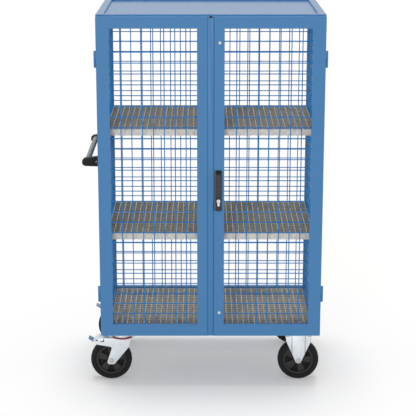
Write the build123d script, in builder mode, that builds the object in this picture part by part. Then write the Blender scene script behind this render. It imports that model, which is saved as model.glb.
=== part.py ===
from build123d import *
from math import cos, pi, radians, sin, tan
import os

# A mesh-walled cabinet trolley with two doors, two grating shelves and four casters.
# Lengths are in millimetres. X runs to the right, Y to the rear and Z up from the floor.
# Places are given from the cabinet's centre line, from the doors' front face and from the floor.
os.makedirs("parts", exist_ok=True)

# Cabinet frame
cabinet_width = 1047
frame_depth = 700
frame_height = 1536
tube = 35
tube_wall = 2
caster_height = 240
rail_thick = 10
rail_width = 120
roof_recess = 9
roof_sheet = 2
roof_fold = 15

# Doors
door_depth = 20
door_gap = 2
door_sheet = 1.5
door_top_gap = 7
door_side_gap = 0.5
door_corner = 5
edge_round = 1.4
closing_half = 15
hinge_stile = 59
closing_stile = 48
top_rail = 55
bottom_rail = 58
strip_right = 14.4
strip_recess = 3
strip_notch_width = 14
strip_notch_height = 7

# Welded wire, in two layers that cross each other
wire = 4
mesh_pitch = 50
mesh_end_gap = 10
door_mesh_depth = 10
left_mesh_start = 50.3
right_mesh_start = 55.1
door_mesh_rise = 51
rear_mesh_start = 38.5
side_mesh_start = 40
wall_mesh_rise = 37

# Gratings, shelves and the ledges that carry them
deck_deep = 28
shelf_deep = 30
shelf_front = 55
shelf_rear = 690
shelf_half = 486
lower_shelf_top = 750
upper_shelf_top = 1251
grating_bar = 2
grating_band = 3
grating_row_pitch = 30
grating_column_pitch = 112
ledge_sheet = 2.5
ledge_foot = 20
ledge_rise = 25
ledge_lap = 11

# Hinges
hinge_upper = 1583
hinge_lower = 463
hinge_height = 77
knuckle_radius = 5.75
hinge_pin_radius = 3
hinge_reach = 5.8
hinge_depth = 15.5
leaf_thick = 3
leaf_long = 30
leaf_short = 13
running_gap = 0.05
face_gap = 0.4

# Lock on the right door's closing stile
lock_centre = 36.5
lock_bottom = 873.5
lock_height = 194
lock_width = 29
lock_plate = 6
lock_corner = 3
spindle_height = 1045
spindle_radius = 6
sleeve_wall = 3
lever_gap = 0.5
lever_thick = 12
lever_width = 23
lever_length = 108
lever_skin = 2
lever_pivot_depth = 5.5
lever_tip_round = 4
tongue_half = 4
tongue_round = 4
lever_pin_radius = 2
case_sheet = 2
case_inset = 0.5
case_half_height = 34
case_depth = 17
cylinder_height = 921
cylinder_radius = 8.5
cylinder_web = 10
cylinder_total = 33
cylinder_tail = 14
plug_radius = 6.4
key_slot_width = 1.6
key_slot_height = 8
key_slot_deep = 6
fit_gap = 0.25
faceplate_thick = 2.8
faceplate_depth = 11
faceplate_lip = 1
lock_screw_inset = 8
lock_screw_radius = 2.5
lock_screw_head = 4.5
lock_screw_head_thick = 3
lock_screw_bite = 4

# Rods behind the stile, driven by a pinion on the spindle
gear_module = 2
gear_teeth = 10
gear_backlash = 0.5
gear_tip_share = 0.9
gear_root_share = 1.2
pressure_angle = 20
rod_width = 6
rod_front = 25
rod_depth = 6
rod_tip_gap = 0.5
rod_slack = 0.3
rack_tail = 4
guide_half_height = 12
guide_inset = 1
guide_boss = 14
upper_guide_height = 1660
lower_guide_height = 373.5
stile_screw_place = 41
stile_screw_radius = 3
stile_screw_head = 7
stile_screw_head_thick = 3.5
stile_screw_bite = 12
keeper_thick = 3
keeper_side = 24
keeper_hole_radius = 5

# Push handle on the left end
handle_reach = 80.5
handle_axis = 55.5
handle_height = 1090
handle_radius = 13.5
handle_wall = 2
handle_front = 85
handle_rear = 659
bracket_width = 30
bracket_wall_height = 47
bracket_tip_radius = 19
bracket_socket = 20
bracket_tip_drop = 2.5
handle_rail_height = 50
handle_rail_thick = 6
handle_bolt_radius = 4
handle_bolt_head = 6.5
handle_bolt_head_thick = 5
handle_bolt_bite = 18
handle_bolt_spread = 26
cross_screw_radius = 3
cross_screw_place = 12.5
cross_screw_bite = 6
cross_screw_head_thick = 1.5

# Casters
wheel_radius = 100
wheel_width = 50
tyre_inner = 74
tyre_round = 9
rim_lip = 10
rim_half = 22
web_half = 6
spoke_half = 15
spoke_count = 5
spoke_half_angle = 17
left_spoke_angle = 17
right_spoke_angle = -1
hub_radius = 20
hub_half = 30
axle_radius = 6
nut_flats = 19
nut_thick = 8
caster_place = 428
caster_inset = 118
swivel_trail = 54.5
caster_plate_length = 140
caster_plate_width = 114
caster_plate_thick = 6
caster_bolt_length_pitch = 105
caster_bolt_width_pitch = 88
caster_bolt_radius = 5
caster_bolt_flats = 16
caster_bolt_head_thick = 6.4
fork_inner = 30.3
fork_sheet = 3.7
crown_top = 214
crown_thick = 5
race_radius = 42
race_chamfer = 4
race_gap = 0.6
king_pin_radius = 7
king_nut_radius = 15
king_nut_bottom = 199
seal_inner = 43
seal_outer = 50
seal_thick = 5
seal_round = 2
tip_radius = 15
cover_reach = 70
cover_low = 182
cover_tip = 78
cover_tip_z = 205
cover_knee = 60
cover_inner_x = 3.6
cover_inner_z = 166
fork_right = 96
fork_right_low = 172
fixed_half = 61
fixed_shoulder = 199
fixed_fold = 32
fixed_fold_width = 3
fixed_swage = 3
pedal_pivot_x = 58
pedal_pivot_z = 194
pedal_boss = 7
pedal_pin_radius = 4
pedal_knee_x = 88
pedal_knee_z = 199.5
pedal_end_x = 109
pedal_end_z = 210.5
pedal_thick = 4
pedal_tread_width = 50
pedal_arm_width = 40
pedal_shoe_x = 72.5
pedal_shoe_z = 177
pedal_neck_x = 73
pedal_neck_z = 197

# Heights and depths that follow
half_width = cabinet_width / 2
inner_half = half_width - tube
base_bottom = caster_height + rail_thick
base_top = base_bottom + tube
frame_top = base_bottom + frame_height
top_bottom = frame_top - tube
frame_front = door_depth + door_gap
frame_rear = frame_front + frame_depth
inner_front = frame_front + tube
inner_rear = frame_rear - tube
roof_top = frame_top - roof_recess
door_bottom = base_bottom + door_top_gap
door_top = frame_top - door_top_gap
door_outer = half_width - door_side_gap
window_low = door_bottom + bottom_rail
window_high = door_top - top_rail
window_outer = door_outer - hinge_stile
window_inner = closing_half + closing_stile
hinge_axis = door_outer + hinge_reach
lever_rear = lock_plate + lever_gap
lever_front = lever_rear + lever_thick
pitch_radius = gear_module * gear_teeth / 2
rack_root = pitch_radius + gear_root_share * gear_module
rack_tip = pitch_radius - gear_tip_share * gear_module
tooth_pitch = pi * gear_module
rod_rear = rod_front + rod_depth
upper_rod_side = lock_centre - rack_root - rod_width / 2
lower_rod_side = lock_centre + rack_root + rod_width / 2
case_front = door_depth
case_rear = case_front + case_depth
sleeve_radius = spindle_radius + running_gap + sleeve_wall
lock_top = lock_bottom + lock_height
handle_left = half_width + handle_axis
plate_bottom = caster_height - caster_plate_thick
front_wheels = caster_inset
rear_wheels = frame_front + frame_rear - caster_inset

# The frame of reference stands on the floor, under the middle of the whole trolley
cabinet_x = (handle_reach - (hinge_axis + knuckle_radius - half_width)) / 2
door_face_y = -(frame_rear - lever_front) / 2


def level(height):
    """A plane seen from above, at a height over the floor."""
    return Plane(origin=(cabinet_x, door_face_y, height))


def upright(depth):
    """A plane seen from the front, at a depth behind the doors' face. Its normal points forward."""
    return Plane(origin=(cabinet_x, door_face_y + depth, 0), x_dir=(1, 0, 0), z_dir=(0, -1, 0))


def turned(depth, centre, angle):
    """An upright plane with its origin at a place seen from the front, turned about its normal."""
    along = (cos(radians(angle)), 0, sin(radians(angle)))
    origin = (cabinet_x + centre[0], door_face_y + depth, centre[1])
    return Plane(origin=origin, x_dir=along, z_dir=(0, -1, 0))


def lengthwise(place):
    """A plane seen from the right end, at a place along X. Its normal points to the right."""
    return Plane(origin=(cabinet_x + place, door_face_y, 0), x_dir=(0, 1, 0), z_dir=(1, 0, 0))


def block(x, y, z, mode=Mode.ADD):
    """A block between a low and a high place along each axis."""
    with BuildSketch(level(z[0])) as face:
        with Locations(((x[0] + x[1]) / 2, (y[0] + y[1]) / 2)):
            Rectangle(x[1] - x[0], y[1] - y[0])
    extrude(face.sketch, amount=z[1] - z[0], mode=mode)


def disc(plane, centre, radius, length, mode=Mode.ADD):
    """A round bar from a plane along its normal."""
    with BuildSketch(plane) as face:
        with Locations(centre):
            Circle(radius)
    extrude(face.sketch, amount=length, mode=mode)


def hexagon(plane, centre, across_flats, length):
    """A hexagonal bolt head or nut from a plane along its normal, with flats facing local X."""
    with BuildSketch(plane) as face:
        with Locations(centre):
            RegularPolygon(across_flats / 2, 6, major_radius=False, rotation=30)
    extrude(face.sketch, amount=length)


def prism(plane, points, length, mode=Mode.ADD, rounding=0):
    """A straight-sided outline from a plane along its normal, with its corners rounded if asked."""
    with BuildSketch(plane) as face:
        with BuildLine():
            Polyline(*points, close=True)
        make_face()
        if rounding:
            fillet(face.vertices(), rounding)
    extrude(face.sketch, amount=length, mode=mode)


def hollow(x, y, z, along):
    """A square tube between two corners, hollow from end to end along one axis."""
    block(x, y, z)
    inside = {
        "x": (x, (y[0] + tube_wall, y[1] - tube_wall), (z[0] + tube_wall, z[1] - tube_wall)),
        "y": ((x[0] + tube_wall, x[1] - tube_wall), y, (z[0] + tube_wall, z[1] - tube_wall)),
    }
    block(*inside[along], mode=Mode.SUBTRACT)


def build_frame():
    """Posts, rails, roof panel and caster rails."""
    near_and_far = ((frame_front, inner_front), (inner_rear, frame_rear))
    left_and_right = ((-half_width, -inner_half), (inner_half, half_width))

    with BuildPart() as corner_posts:
        for x in left_and_right:
            for y in near_and_far:
                block(x, y, (base_bottom, frame_top))
                block(
                    (x[0] + tube_wall, x[1] - tube_wall),
                    (y[0] + tube_wall, y[1] - tube_wall),
                    (base_bottom, frame_top - tube_wall),
                    mode=Mode.SUBTRACT,
                )
    corner_posts.part.label = "corner_posts"
    export_step(corner_posts.part, "parts/corner_posts.step")

    rails = {"top_rails": (top_bottom, frame_top), "base_rails": (base_bottom, base_top)}
    rod_side = {"top_rails": upper_rod_side, "base_rails": lower_rod_side}
    rod_wall = {"top_rails": top_bottom, "base_rails": base_top - tube_wall}
    for name, z in rails.items():
        with BuildPart() as rail_set:
            for y in near_and_far:
                hollow((-inner_half, inner_half), y, z, "x")
            for x in left_and_right:
                hollow(x, (inner_front, inner_rear), z, "y")
            disc(
                level(rod_wall[name]),
                (rod_side[name], (rod_front + rod_rear) / 2),
                keeper_hole_radius,
                tube_wall,
                Mode.SUBTRACT,
            )
        rail_set.part.label = name
        export_step(rail_set.part, f"parts/{name}.step")

    with BuildPart() as roof_panel:
        block((-inner_half, inner_half), (inner_front, inner_rear), (roof_top - roof_fold, roof_top))
        block(
            (-inner_half + roof_sheet, inner_half - roof_sheet),
            (inner_front + roof_sheet, inner_rear - roof_sheet),
            (roof_top - roof_fold, roof_top - roof_sheet),
            mode=Mode.SUBTRACT,
        )
    roof_panel.part.label = "roof_panel"
    export_step(roof_panel.part, "parts/roof_panel.step")

    with BuildPart() as caster_rails:
        for depth in (front_wheels, rear_wheels):
            block(
                (-half_width, half_width),
                (depth - rail_width / 2, depth + rail_width / 2),
                (caster_height, base_bottom),
            )
            for place in (-caster_place, caster_place):
                for x, y in bolt_places(place, depth):
                    disc(level(caster_height), (x, y), caster_bolt_radius, rail_thick, Mode.SUBTRACT)
    caster_rails.part.label = "caster_rails"
    export_step(caster_rails.part, "parts/caster_rails.step")


def bolt_places(place, depth):
    """The four bolt places of a caster plate."""
    across = caster_bolt_length_pitch / 2
    along = caster_bolt_width_pitch / 2
    return [(place + i * across, depth + j * along) for i in (-1, 1) for j in (-1, 1)]


def wire_row(low, high, first):
    """Places of the wires between two ends, the first a given distance from the low end."""
    count = int((high - low - first - mesh_end_gap) / mesh_pitch) + 1
    return [low + first + mesh_pitch * n for n in range(count)]


def wire_mesh(name, plane, low, high, first):
    """Upright wires in front of a plane and level wires behind it, welded where they cross."""
    with BuildPart() as mesh:
        with BuildSketch(plane) as uprights:
            with Locations(*[(x, (low[1] + high[1]) / 2) for x in wire_row(low[0], high[0], first[0])]):
                Rectangle(wire, high[1] - low[1])
        extrude(uprights.sketch, amount=wire)
        with BuildSketch(plane) as levels:
            with Locations(*[((low[0] + high[0]) / 2, z) for z in wire_row(low[1], high[1], first[1])]):
                Rectangle(high[0] - low[0], wire)
        extrude(levels.sketch, amount=-wire, clean=False)
    mesh.part.label = name
    export_step(mesh.part, f"parts/{name}.step")


def build_walls():
    """The wire meshes of the rear and of both sides, each in the middle of the frame's tubes."""
    mid_tube = (tube - wire) / 2
    wall_low, wall_high = base_top, top_bottom
    wire_mesh(
        "rear_mesh",
        upright(frame_rear - tube / 2),
        (-inner_half, wall_low),
        (inner_half, wall_high),
        (rear_mesh_start, wall_mesh_rise),
    )
    for name, place in (("side_mesh_left", -1), ("side_mesh_right", 1)):
        wire_mesh(
            name,
            lengthwise(place * (inner_half + mid_tube)),
            (inner_front, wall_low),
            (inner_rear, wall_high),
            (side_mesh_start, wall_mesh_rise),
        )


def even_cells(low, high, pitch):
    """Cells between two ends, parted by bars about a pitch apart."""
    inner_low, inner_high = low + grating_band, high - grating_band
    count = round((inner_high - inner_low) / pitch)
    step = (inner_high - inner_low + grating_bar) / count
    return [(inner_low + step * n, inner_low + step * (n + 1) - grating_bar) for n in range(count)]


def rectangle_wire(x, y):
    """A closed outline between two corners."""
    return Wire.make_polygon([(x[0], y[0]), (x[1], y[0]), (x[1], y[1]), (x[0], y[1])])


def grating(name, top, deep, front, rear):
    """Upright bars across a flat band, open between the bars."""
    with BuildPart() as floor:
        with BuildSketch(level(top - deep)) as plan:
            cells = [
                rectangle_wire(x, y)
                for x in even_cells(-shelf_half, shelf_half, grating_column_pitch)
                for y in even_cells(front, rear, grating_row_pitch)
            ]
            add(Face(rectangle_wire((-shelf_half, shelf_half), (front, rear)), cells))
        extrude(plan.sketch, amount=deep)
    floor.part.label = name
    export_step(floor.part, f"parts/{name}.step")


def build_shelves():
    """The deck on the caster rails, two shelves and the angles that carry them."""
    deck_gap = inner_half - shelf_half
    deck_front, deck_rear = inner_front + deck_gap, inner_rear - deck_gap
    grating("deck_grating", base_bottom + deck_deep, deck_deep, deck_front, deck_rear)
    grating("shelf_lower", lower_shelf_top, shelf_deep, shelf_front, shelf_rear)
    grating("shelf_upper", upper_shelf_top, shelf_deep, shelf_front, shelf_rear)

    with BuildPart() as shelf_ledges:
        for top in (lower_shelf_top, upper_shelf_top):
            seat = top - shelf_deep
            for side in (-1, 1):
                wall = sorted((side * inner_half, side * shelf_half))
                foot = sorted((side * inner_half, side * (shelf_half - ledge_foot)))
                run = (inner_front - ledge_lap, inner_rear + ledge_lap)
                block(wall, run, (seat - ledge_sheet, seat + ledge_rise))
                block(foot, (shelf_front, shelf_rear), (seat - ledge_sheet, seat))
    shelf_ledges.part.label = "shelf_ledges"
    export_step(shelf_ledges.part, "parts/shelf_ledges.step")


def rectangle_between(x, z, mode=Mode.ADD):
    """A rectangle between two corners, in the sketch that is open."""
    with Locations(((x[0] + x[1]) / 2, (z[0] + z[1]) / 2)):
        Rectangle(x[1] - x[0], z[1] - z[0], mode=mode)


def door_frame(name, side):
    """A folded sheet frame, open at the back, around the window for the mesh."""
    outline = sorted((side * closing_half, side * door_outer))
    window = sorted((side * window_inner, side * window_outer))
    with BuildPart() as frame:
        with BuildSketch(upright(door_depth)) as face:
            rectangle_between(outline, (door_bottom, door_top))
            hinge_corners = face.vertices().group_by(Axis.X)[-1 if side > 0 else 0]
            fillet(hinge_corners, door_corner)
            rectangle_between(window, (window_low, window_high), Mode.SUBTRACT)
        extrude(face.sketch, amount=door_depth)
        fillet(frame.faces().sort_by(Axis.Y)[0].edges(), edge_round)
        with BuildSketch(upright(door_depth)) as channel:
            rectangle_between(
                (outline[0] + door_sheet, outline[1] - door_sheet),
                (door_bottom + door_sheet, door_top - door_sheet),
            )
            rectangle_between(
                (window[0] - door_sheet, window[1] + door_sheet),
                (window_low - door_sheet, window_high + door_sheet),
                Mode.SUBTRACT,
            )
        extrude(channel.sketch, amount=door_depth - door_sheet, mode=Mode.SUBTRACT)
        if side > 0:
            cut_lock_holes()
    frame.part.label = name
    export_step(frame.part, f"parts/{name}.step")


def cut_lock_holes():
    """Holes in the right door's front sheet for the lock and its screws."""
    skin = upright(door_sheet)
    disc(skin, (lock_centre, spindle_height), sleeve_radius + fit_gap, door_sheet, Mode.SUBTRACT)
    extrude(cylinder_profile(skin, fit_gap), amount=door_sheet, mode=Mode.SUBTRACT)
    for z in lock_screw_heights():
        disc(skin, (lock_centre, z), lock_screw_radius + fit_gap, door_sheet, Mode.SUBTRACT)
    for z in (lower_guide_height, upper_guide_height):
        disc(skin, (stile_screw_place, z), stile_screw_radius + fit_gap, door_sheet, Mode.SUBTRACT)


def lock_screw_heights():
    """The two screws that hold the lock's front plate from behind."""
    return (lock_bottom + lock_screw_inset, lock_top - lock_screw_inset)


def cylinder_profile(plane, grow):
    """The section of a profile cylinder, a circle over a round-ended web, grown by a clearance."""
    web_low = cylinder_height + cylinder_radius - cylinder_total + cylinder_web / 2
    with BuildSketch(plane) as profile:
        with Locations((lock_centre, cylinder_height)):
            Circle(cylinder_radius + grow)
        with Locations((lock_centre, (cylinder_height + web_low) / 2)):
            Rectangle(cylinder_web + 2 * grow, cylinder_height - web_low)
        with Locations((lock_centre, web_low)):
            Circle(cylinder_web / 2 + grow)
    return profile.sketch


def build_doors():
    """Both door frames with their meshes, and the strip on the left door's closing edge."""
    door_frame("door_frame_left", -1)
    door_frame("door_frame_right", 1)
    wire_mesh(
        "door_mesh_left",
        upright(door_mesh_depth),
        (-window_outer, window_low),
        (-window_inner, window_high),
        (left_mesh_start, door_mesh_rise),
    )
    wire_mesh(
        "door_mesh_right",
        upright(door_mesh_depth),
        (window_inner, window_low),
        (window_outer, window_high),
        (right_mesh_start, door_mesh_rise),
    )

    with BuildPart() as centre_strip:
        block((-closing_half, strip_right), (strip_recess, door_depth), (door_bottom, door_top))
        block(
            (-closing_half + door_sheet, strip_right - door_sheet),
            (strip_recess + door_sheet, door_depth),
            (door_bottom, door_top),
            mode=Mode.SUBTRACT,
        )
        half_notch = strip_notch_width / 2
        block(
            (-half_notch, half_notch),
            (strip_recess, door_depth),
            (door_top - strip_notch_height, door_top),
            mode=Mode.SUBTRACT,
        )
        block(
            (closing_half - faceplate_thick - face_gap, closing_half),
            (strip_recess, door_depth),
            (lock_bottom - face_gap, lock_top + face_gap),
            mode=Mode.SUBTRACT,
        )
    centre_strip.part.label = "centre_strip"
    export_step(centre_strip.part, "parts/centre_strip.step")


def build_hinges():
    """Lift-off hinges: the lower half with its pin on the frame, the upper half on the door."""
    half_height = (hinge_height - face_gap) / 2
    with BuildPart() as hinge_pins:
        for side in (-1, 1):
            leaf = sorted((side * (hinge_axis - leaf_thick), side * half_width))
            for middle in (hinge_lower, hinge_upper):
                foot = middle - hinge_height / 2
                plane = level(foot)
                centre = (side * hinge_axis, hinge_depth)
                disc(plane, centre, knuckle_radius, half_height)
                disc(plane, centre, hinge_pin_radius, hinge_height - leaf_thick)
                block(leaf, (door_depth + door_gap / 2, door_depth + leaf_long), (foot, foot + half_height))
                root = sorted((side * hinge_axis, side * (half_width + running_gap)))
                block(root, (hinge_depth, door_depth + door_gap), (foot, foot + half_height))
    hinge_pins.part.label = "hinge_pins"
    export_step(hinge_pins.part, "parts/hinge_pins.step")

    for name, side in (("hinge_knuckles_left", -1), ("hinge_knuckles_right", 1)):
        with BuildPart() as knuckles:
            leaf = sorted((side * hinge_axis, side * door_outer))
            for middle in (hinge_lower, hinge_upper):
                foot = middle + face_gap / 2
                plane = level(foot)
                centre = (side * hinge_axis, hinge_depth)
                disc(plane, centre, knuckle_radius, half_height)
                block(leaf, (hinge_depth - leaf_short, hinge_depth), (foot, foot + half_height))
                disc(
                    plane,
                    centre,
                    hinge_pin_radius + running_gap,
                    half_height - leaf_thick / 2,
                    Mode.SUBTRACT,
                )
        knuckles.part.label = name
        export_step(knuckles.part, f"parts/{name}.step")


def build_lock():
    """The lock's fixed pieces on the right door."""
    spindle_centre = (lock_centre, spindle_height)
    with BuildPart() as lock_housing:
        with BuildSketch(upright(0)) as plate:
            with Locations((lock_centre, lock_bottom + lock_height / 2)):
                RectangleRounded(lock_width, lock_height, lock_corner)
        extrude(plate.sketch, amount=lock_plate)
        fillet(lock_housing.faces().sort_by(Axis.Y)[0].edges(), edge_round)
        disc(upright(case_front), spindle_centre, sleeve_radius, case_front)
        disc(
            upright(case_front),
            spindle_centre,
            spindle_radius + running_gap,
            case_front + lock_plate,
            Mode.SUBTRACT,
        )
        extrude(cylinder_profile(upright(0), fit_gap), amount=lock_plate, mode=Mode.SUBTRACT)
        for z in lock_screw_heights():
            disc(upright(0), (lock_centre, z), lock_screw_radius, lock_screw_bite, Mode.SUBTRACT)
    lock_housing.part.label = "lock_housing"
    export_step(lock_housing.part, "parts/lock_housing.step")

    with BuildPart() as lock_case:
        low, high = spindle_height - case_half_height, spindle_height + case_half_height
        half_inside = rack_root + rod_width + rod_slack
        inner = (lock_centre - half_inside, lock_centre + half_inside)
        block(
            (closing_half + case_inset, closing_half + closing_stile),
            (case_front, case_front + case_sheet),
            (low, high),
        )
        block((inner[0] - case_sheet, inner[1] + case_sheet), (case_front, case_rear), (low, high))
        block(
            inner,
            (case_front + case_sheet, case_rear - case_sheet),
            (low + case_sheet, high - case_sheet),
            mode=Mode.SUBTRACT,
        )
        disc(
            upright(case_rear),
            spindle_centre,
            spindle_radius + running_gap,
            case_depth,
            Mode.SUBTRACT,
        )
        rod_slot(upper_rod_side, (high - case_sheet, high))
        rod_slot(lower_rod_side, (low, low + case_sheet))
    lock_case.part.label = "lock_case"
    export_step(lock_case.part, "parts/lock_case.step")

    with BuildPart() as lock_faceplate:
        block(
            (closing_half - faceplate_thick, closing_half),
            (0, faceplate_depth),
            (lock_bottom, lock_top),
        )
        block(
            (closing_half - faceplate_thick, closing_half + faceplate_thick),
            (-faceplate_lip, 0),
            (lock_bottom, lock_top),
        )
    lock_faceplate.part.label = "lock_faceplate"
    export_step(lock_faceplate.part, "parts/lock_faceplate.step")

    cylinder_centre = (lock_centre, cylinder_height)
    with BuildPart() as key_cylinder:
        extrude(cylinder_profile(upright(cylinder_tail), 0), amount=cylinder_tail + lock_plate)
        disc(
            upright(cylinder_tail),
            cylinder_centre,
            plug_radius + running_gap,
            cylinder_tail + lock_plate,
            Mode.SUBTRACT,
        )
    key_cylinder.part.label = "key_cylinder"
    export_step(key_cylinder.part, "parts/key_cylinder.step")

    with BuildPart() as key_plug:
        disc(upright(cylinder_tail), cylinder_centre, plug_radius, cylinder_tail + lock_plate)
        with BuildSketch(upright(-lock_plate)) as slot:
            with Locations(cylinder_centre):
                Rectangle(key_slot_width, key_slot_height)
        extrude(slot.sketch, amount=-key_slot_deep, mode=Mode.SUBTRACT)
    key_plug.part.label = "key_plug"
    export_step(key_plug.part, "parts/key_plug.step")

    with BuildPart() as rod_guides:
        for side, z in ((lower_rod_side, lower_guide_height), (upper_rod_side, upper_guide_height)):
            tall = (z - guide_half_height, z + guide_half_height)
            block(
                (closing_half + guide_inset, closing_half + closing_stile - guide_inset),
                (door_depth, case_rear),
                tall,
            )
            block(
                (stile_screw_place - guide_boss / 2, stile_screw_place + guide_boss / 2),
                (door_sheet, door_depth),
                (z - guide_boss / 2, z + guide_boss / 2),
            )
            rod_slot(side, tall)
            disc(
                upright(stile_screw_bite + door_sheet),
                (stile_screw_place, z),
                stile_screw_radius,
                stile_screw_bite,
                Mode.SUBTRACT,
            )
    rod_guides.part.label = "rod_guides"
    export_step(rod_guides.part, "parts/rod_guides.step")

    with BuildPart() as door_screws:
        for z in (lower_guide_height, upper_guide_height):
            centre = (stile_screw_place, z)
            disc(upright(0), centre, stile_screw_head, stile_screw_head_thick)
            disc(upright(stile_screw_bite), centre, stile_screw_radius, stile_screw_bite)
        fillet(door_screws.faces().sort_by(Axis.Y)[:2].edges(), edge_round)
        for z in lock_screw_heights():
            centre = (lock_centre, z)
            disc(upright(door_sheet + lock_screw_head_thick), centre, lock_screw_head, lock_screw_head_thick)
            disc(upright(door_sheet), centre, lock_screw_radius, door_sheet + lock_screw_bite)
    door_screws.part.label = "door_screws"
    export_step(door_screws.part, "parts/door_screws.step")


def rod_slot(side, z):
    """A square hole for a rod to slide in, through a wall between two heights."""
    half = rod_width / 2 + rod_slack
    block(
        (side - half, side + half),
        (rod_front - rod_slack, rod_rear + rod_slack),
        z,
        mode=Mode.SUBTRACT,
    )


def build_lock_motion():
    """The spindle, the swing handle hinged to it, the pinion and the two rods."""
    pivot = -(lever_rear + lever_pivot_depth)
    with BuildPart() as lock_spindle:
        disc(
            upright(case_rear),
            (lock_centre, spindle_height),
            spindle_radius,
            case_rear + lock_plate,
        )
        block(
            (lock_centre - tongue_half, lock_centre + tongue_half),
            (pivot, -lock_plate),
            (spindle_height - tongue_round, spindle_height + tongue_round),
        )
        tongue = lengthwise(lock_centre - tongue_half)
        disc(tongue, (pivot, spindle_height), tongue_round, 2 * tongue_half)
        disc(
            tongue,
            (pivot, spindle_height),
            lever_pin_radius + running_gap,
            2 * tongue_half,
            Mode.SUBTRACT,
        )
    lock_spindle.part.label = "lock_spindle"
    export_step(lock_spindle.part, "parts/lock_spindle.step")

    with BuildPart() as swing_handle:
        top = spindle_height + lever_pivot_depth
        side_plane = lengthwise(lock_centre - lever_width / 2)
        with BuildSketch(side_plane) as outline:
            rectangle_between((-lever_front, -lever_rear), (top - lever_length, top))
            fillet(outline.vertices().group_by(Axis.Y)[-1], lever_pivot_depth - running_gap)
            fillet(outline.vertices().group_by(Axis.Y)[0], lever_tip_round)
        extrude(outline.sketch, amount=lever_width)
        fillet(swing_handle.faces().sort_by(Axis.Y)[0].edges().filter_by(Axis.Z), edge_round)
        slot_half = tongue_half + fit_gap
        block(
            (lock_centre - slot_half, lock_centre + slot_half),
            (-lever_front + lever_skin, -lever_rear),
            (spindle_height - tongue_round - edge_round, top),
            mode=Mode.SUBTRACT,
        )
        disc(
            lengthwise(lock_centre - slot_half),
            (pivot, spindle_height),
            lever_pin_radius,
            2 * slot_half,
        )
    swing_handle.part.label = "swing_handle"
    export_step(swing_handle.part, "parts/swing_handle.step")

    with BuildPart() as rod_pinion:
        disc(upright(rod_rear), (lock_centre, spindle_height), pinion_root_radius(), rod_depth)
        for n in range(gear_teeth):
            pinion_tooth(360 * n / gear_teeth)
        disc(
            upright(rod_rear),
            (lock_centre, spindle_height),
            spindle_radius + running_gap,
            rod_depth,
            Mode.SUBTRACT,
        )
    rod_pinion.part.label = "rod_pinion"
    export_step(rod_pinion.part, "parts/rod_pinion.step")

    travel = pi / 2 * pitch_radius
    upper_tip = top_bottom - keeper_thick - rod_tip_gap
    lower_tip = base_top + keeper_thick + rod_tip_gap
    rods = (("rod_upper", -1, upper_tip, 1), ("rod_lower", 1, lower_tip, -1))
    for name, side, tip, up in rods:
        with BuildPart() as rod:
            body = sorted((lock_centre + side * rack_root, lock_centre + side * (rack_root + rod_width)))
            first = spindle_height - up * (pitch_radius + rack_tail)
            block(body, (rod_front, rod_rear), sorted((first, tip)))
            reach = int((travel + pitch_radius) / tooth_pitch) + 1
            for n in range(-1, reach):
                middle = spindle_height + up * (n + 1 / 2) * tooth_pitch
                rack_tooth(side, middle)
        rod.part.label = name
        export_step(rod.part, f"parts/{name}.step")

    with BuildPart() as rod_keepers:
        y = (rod_front + rod_rear) / 2
        for side, z in (
            (upper_rod_side, (top_bottom - keeper_thick, top_bottom)),
            (lower_rod_side, (base_top, base_top + keeper_thick)),
        ):
            block(
                (side - keeper_side / 2, side + keeper_side / 2),
                (frame_front, frame_front + keeper_side),
                z,
            )
            disc(level(z[0]), (side, y), keeper_hole_radius, keeper_thick, Mode.SUBTRACT)
    rod_keepers.part.label = "rod_keepers"
    export_step(rod_keepers.part, "parts/rod_keepers.step")


def pinion_root_radius():
    """The pinion's radius between its teeth."""
    return pitch_radius - gear_root_share * gear_module


def tooth_half_width(height):
    """Half a rack tooth's width at a height above the pitch line."""
    at_pitch = (tooth_pitch / 2 - gear_backlash) / 2
    return at_pitch - height * tan(radians(pressure_angle))


def pinion_tooth(angle):
    """A straight-sided tooth, drawn upward and turned about the spindle."""
    root = pinion_root_radius() - gear_backlash
    tip = pitch_radius + gear_tip_share * gear_module
    half_root = tooth_half_width(0) + gear_backlash / 2
    half_tip = tooth_half_width(gear_tip_share * gear_module)
    prism(
        turned(rod_rear, (lock_centre, spindle_height), angle),
        [(root, -half_root), (tip, -half_tip), (tip, half_tip), (root, half_root)],
        rod_depth,
    )


def rack_tooth(side, middle):
    """One tooth of a rod's rack, pointing at the pinion."""
    root, tip = lock_centre + side * rack_root, lock_centre + side * rack_tip
    deep = tooth_half_width(-gear_root_share * gear_module)
    narrow = tooth_half_width(gear_tip_share * gear_module)
    prism(
        upright(rod_rear),
        [(root, middle - deep), (tip, middle - narrow), (tip, middle + narrow), (root, middle + deep)],
        rod_depth,
    )


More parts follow.
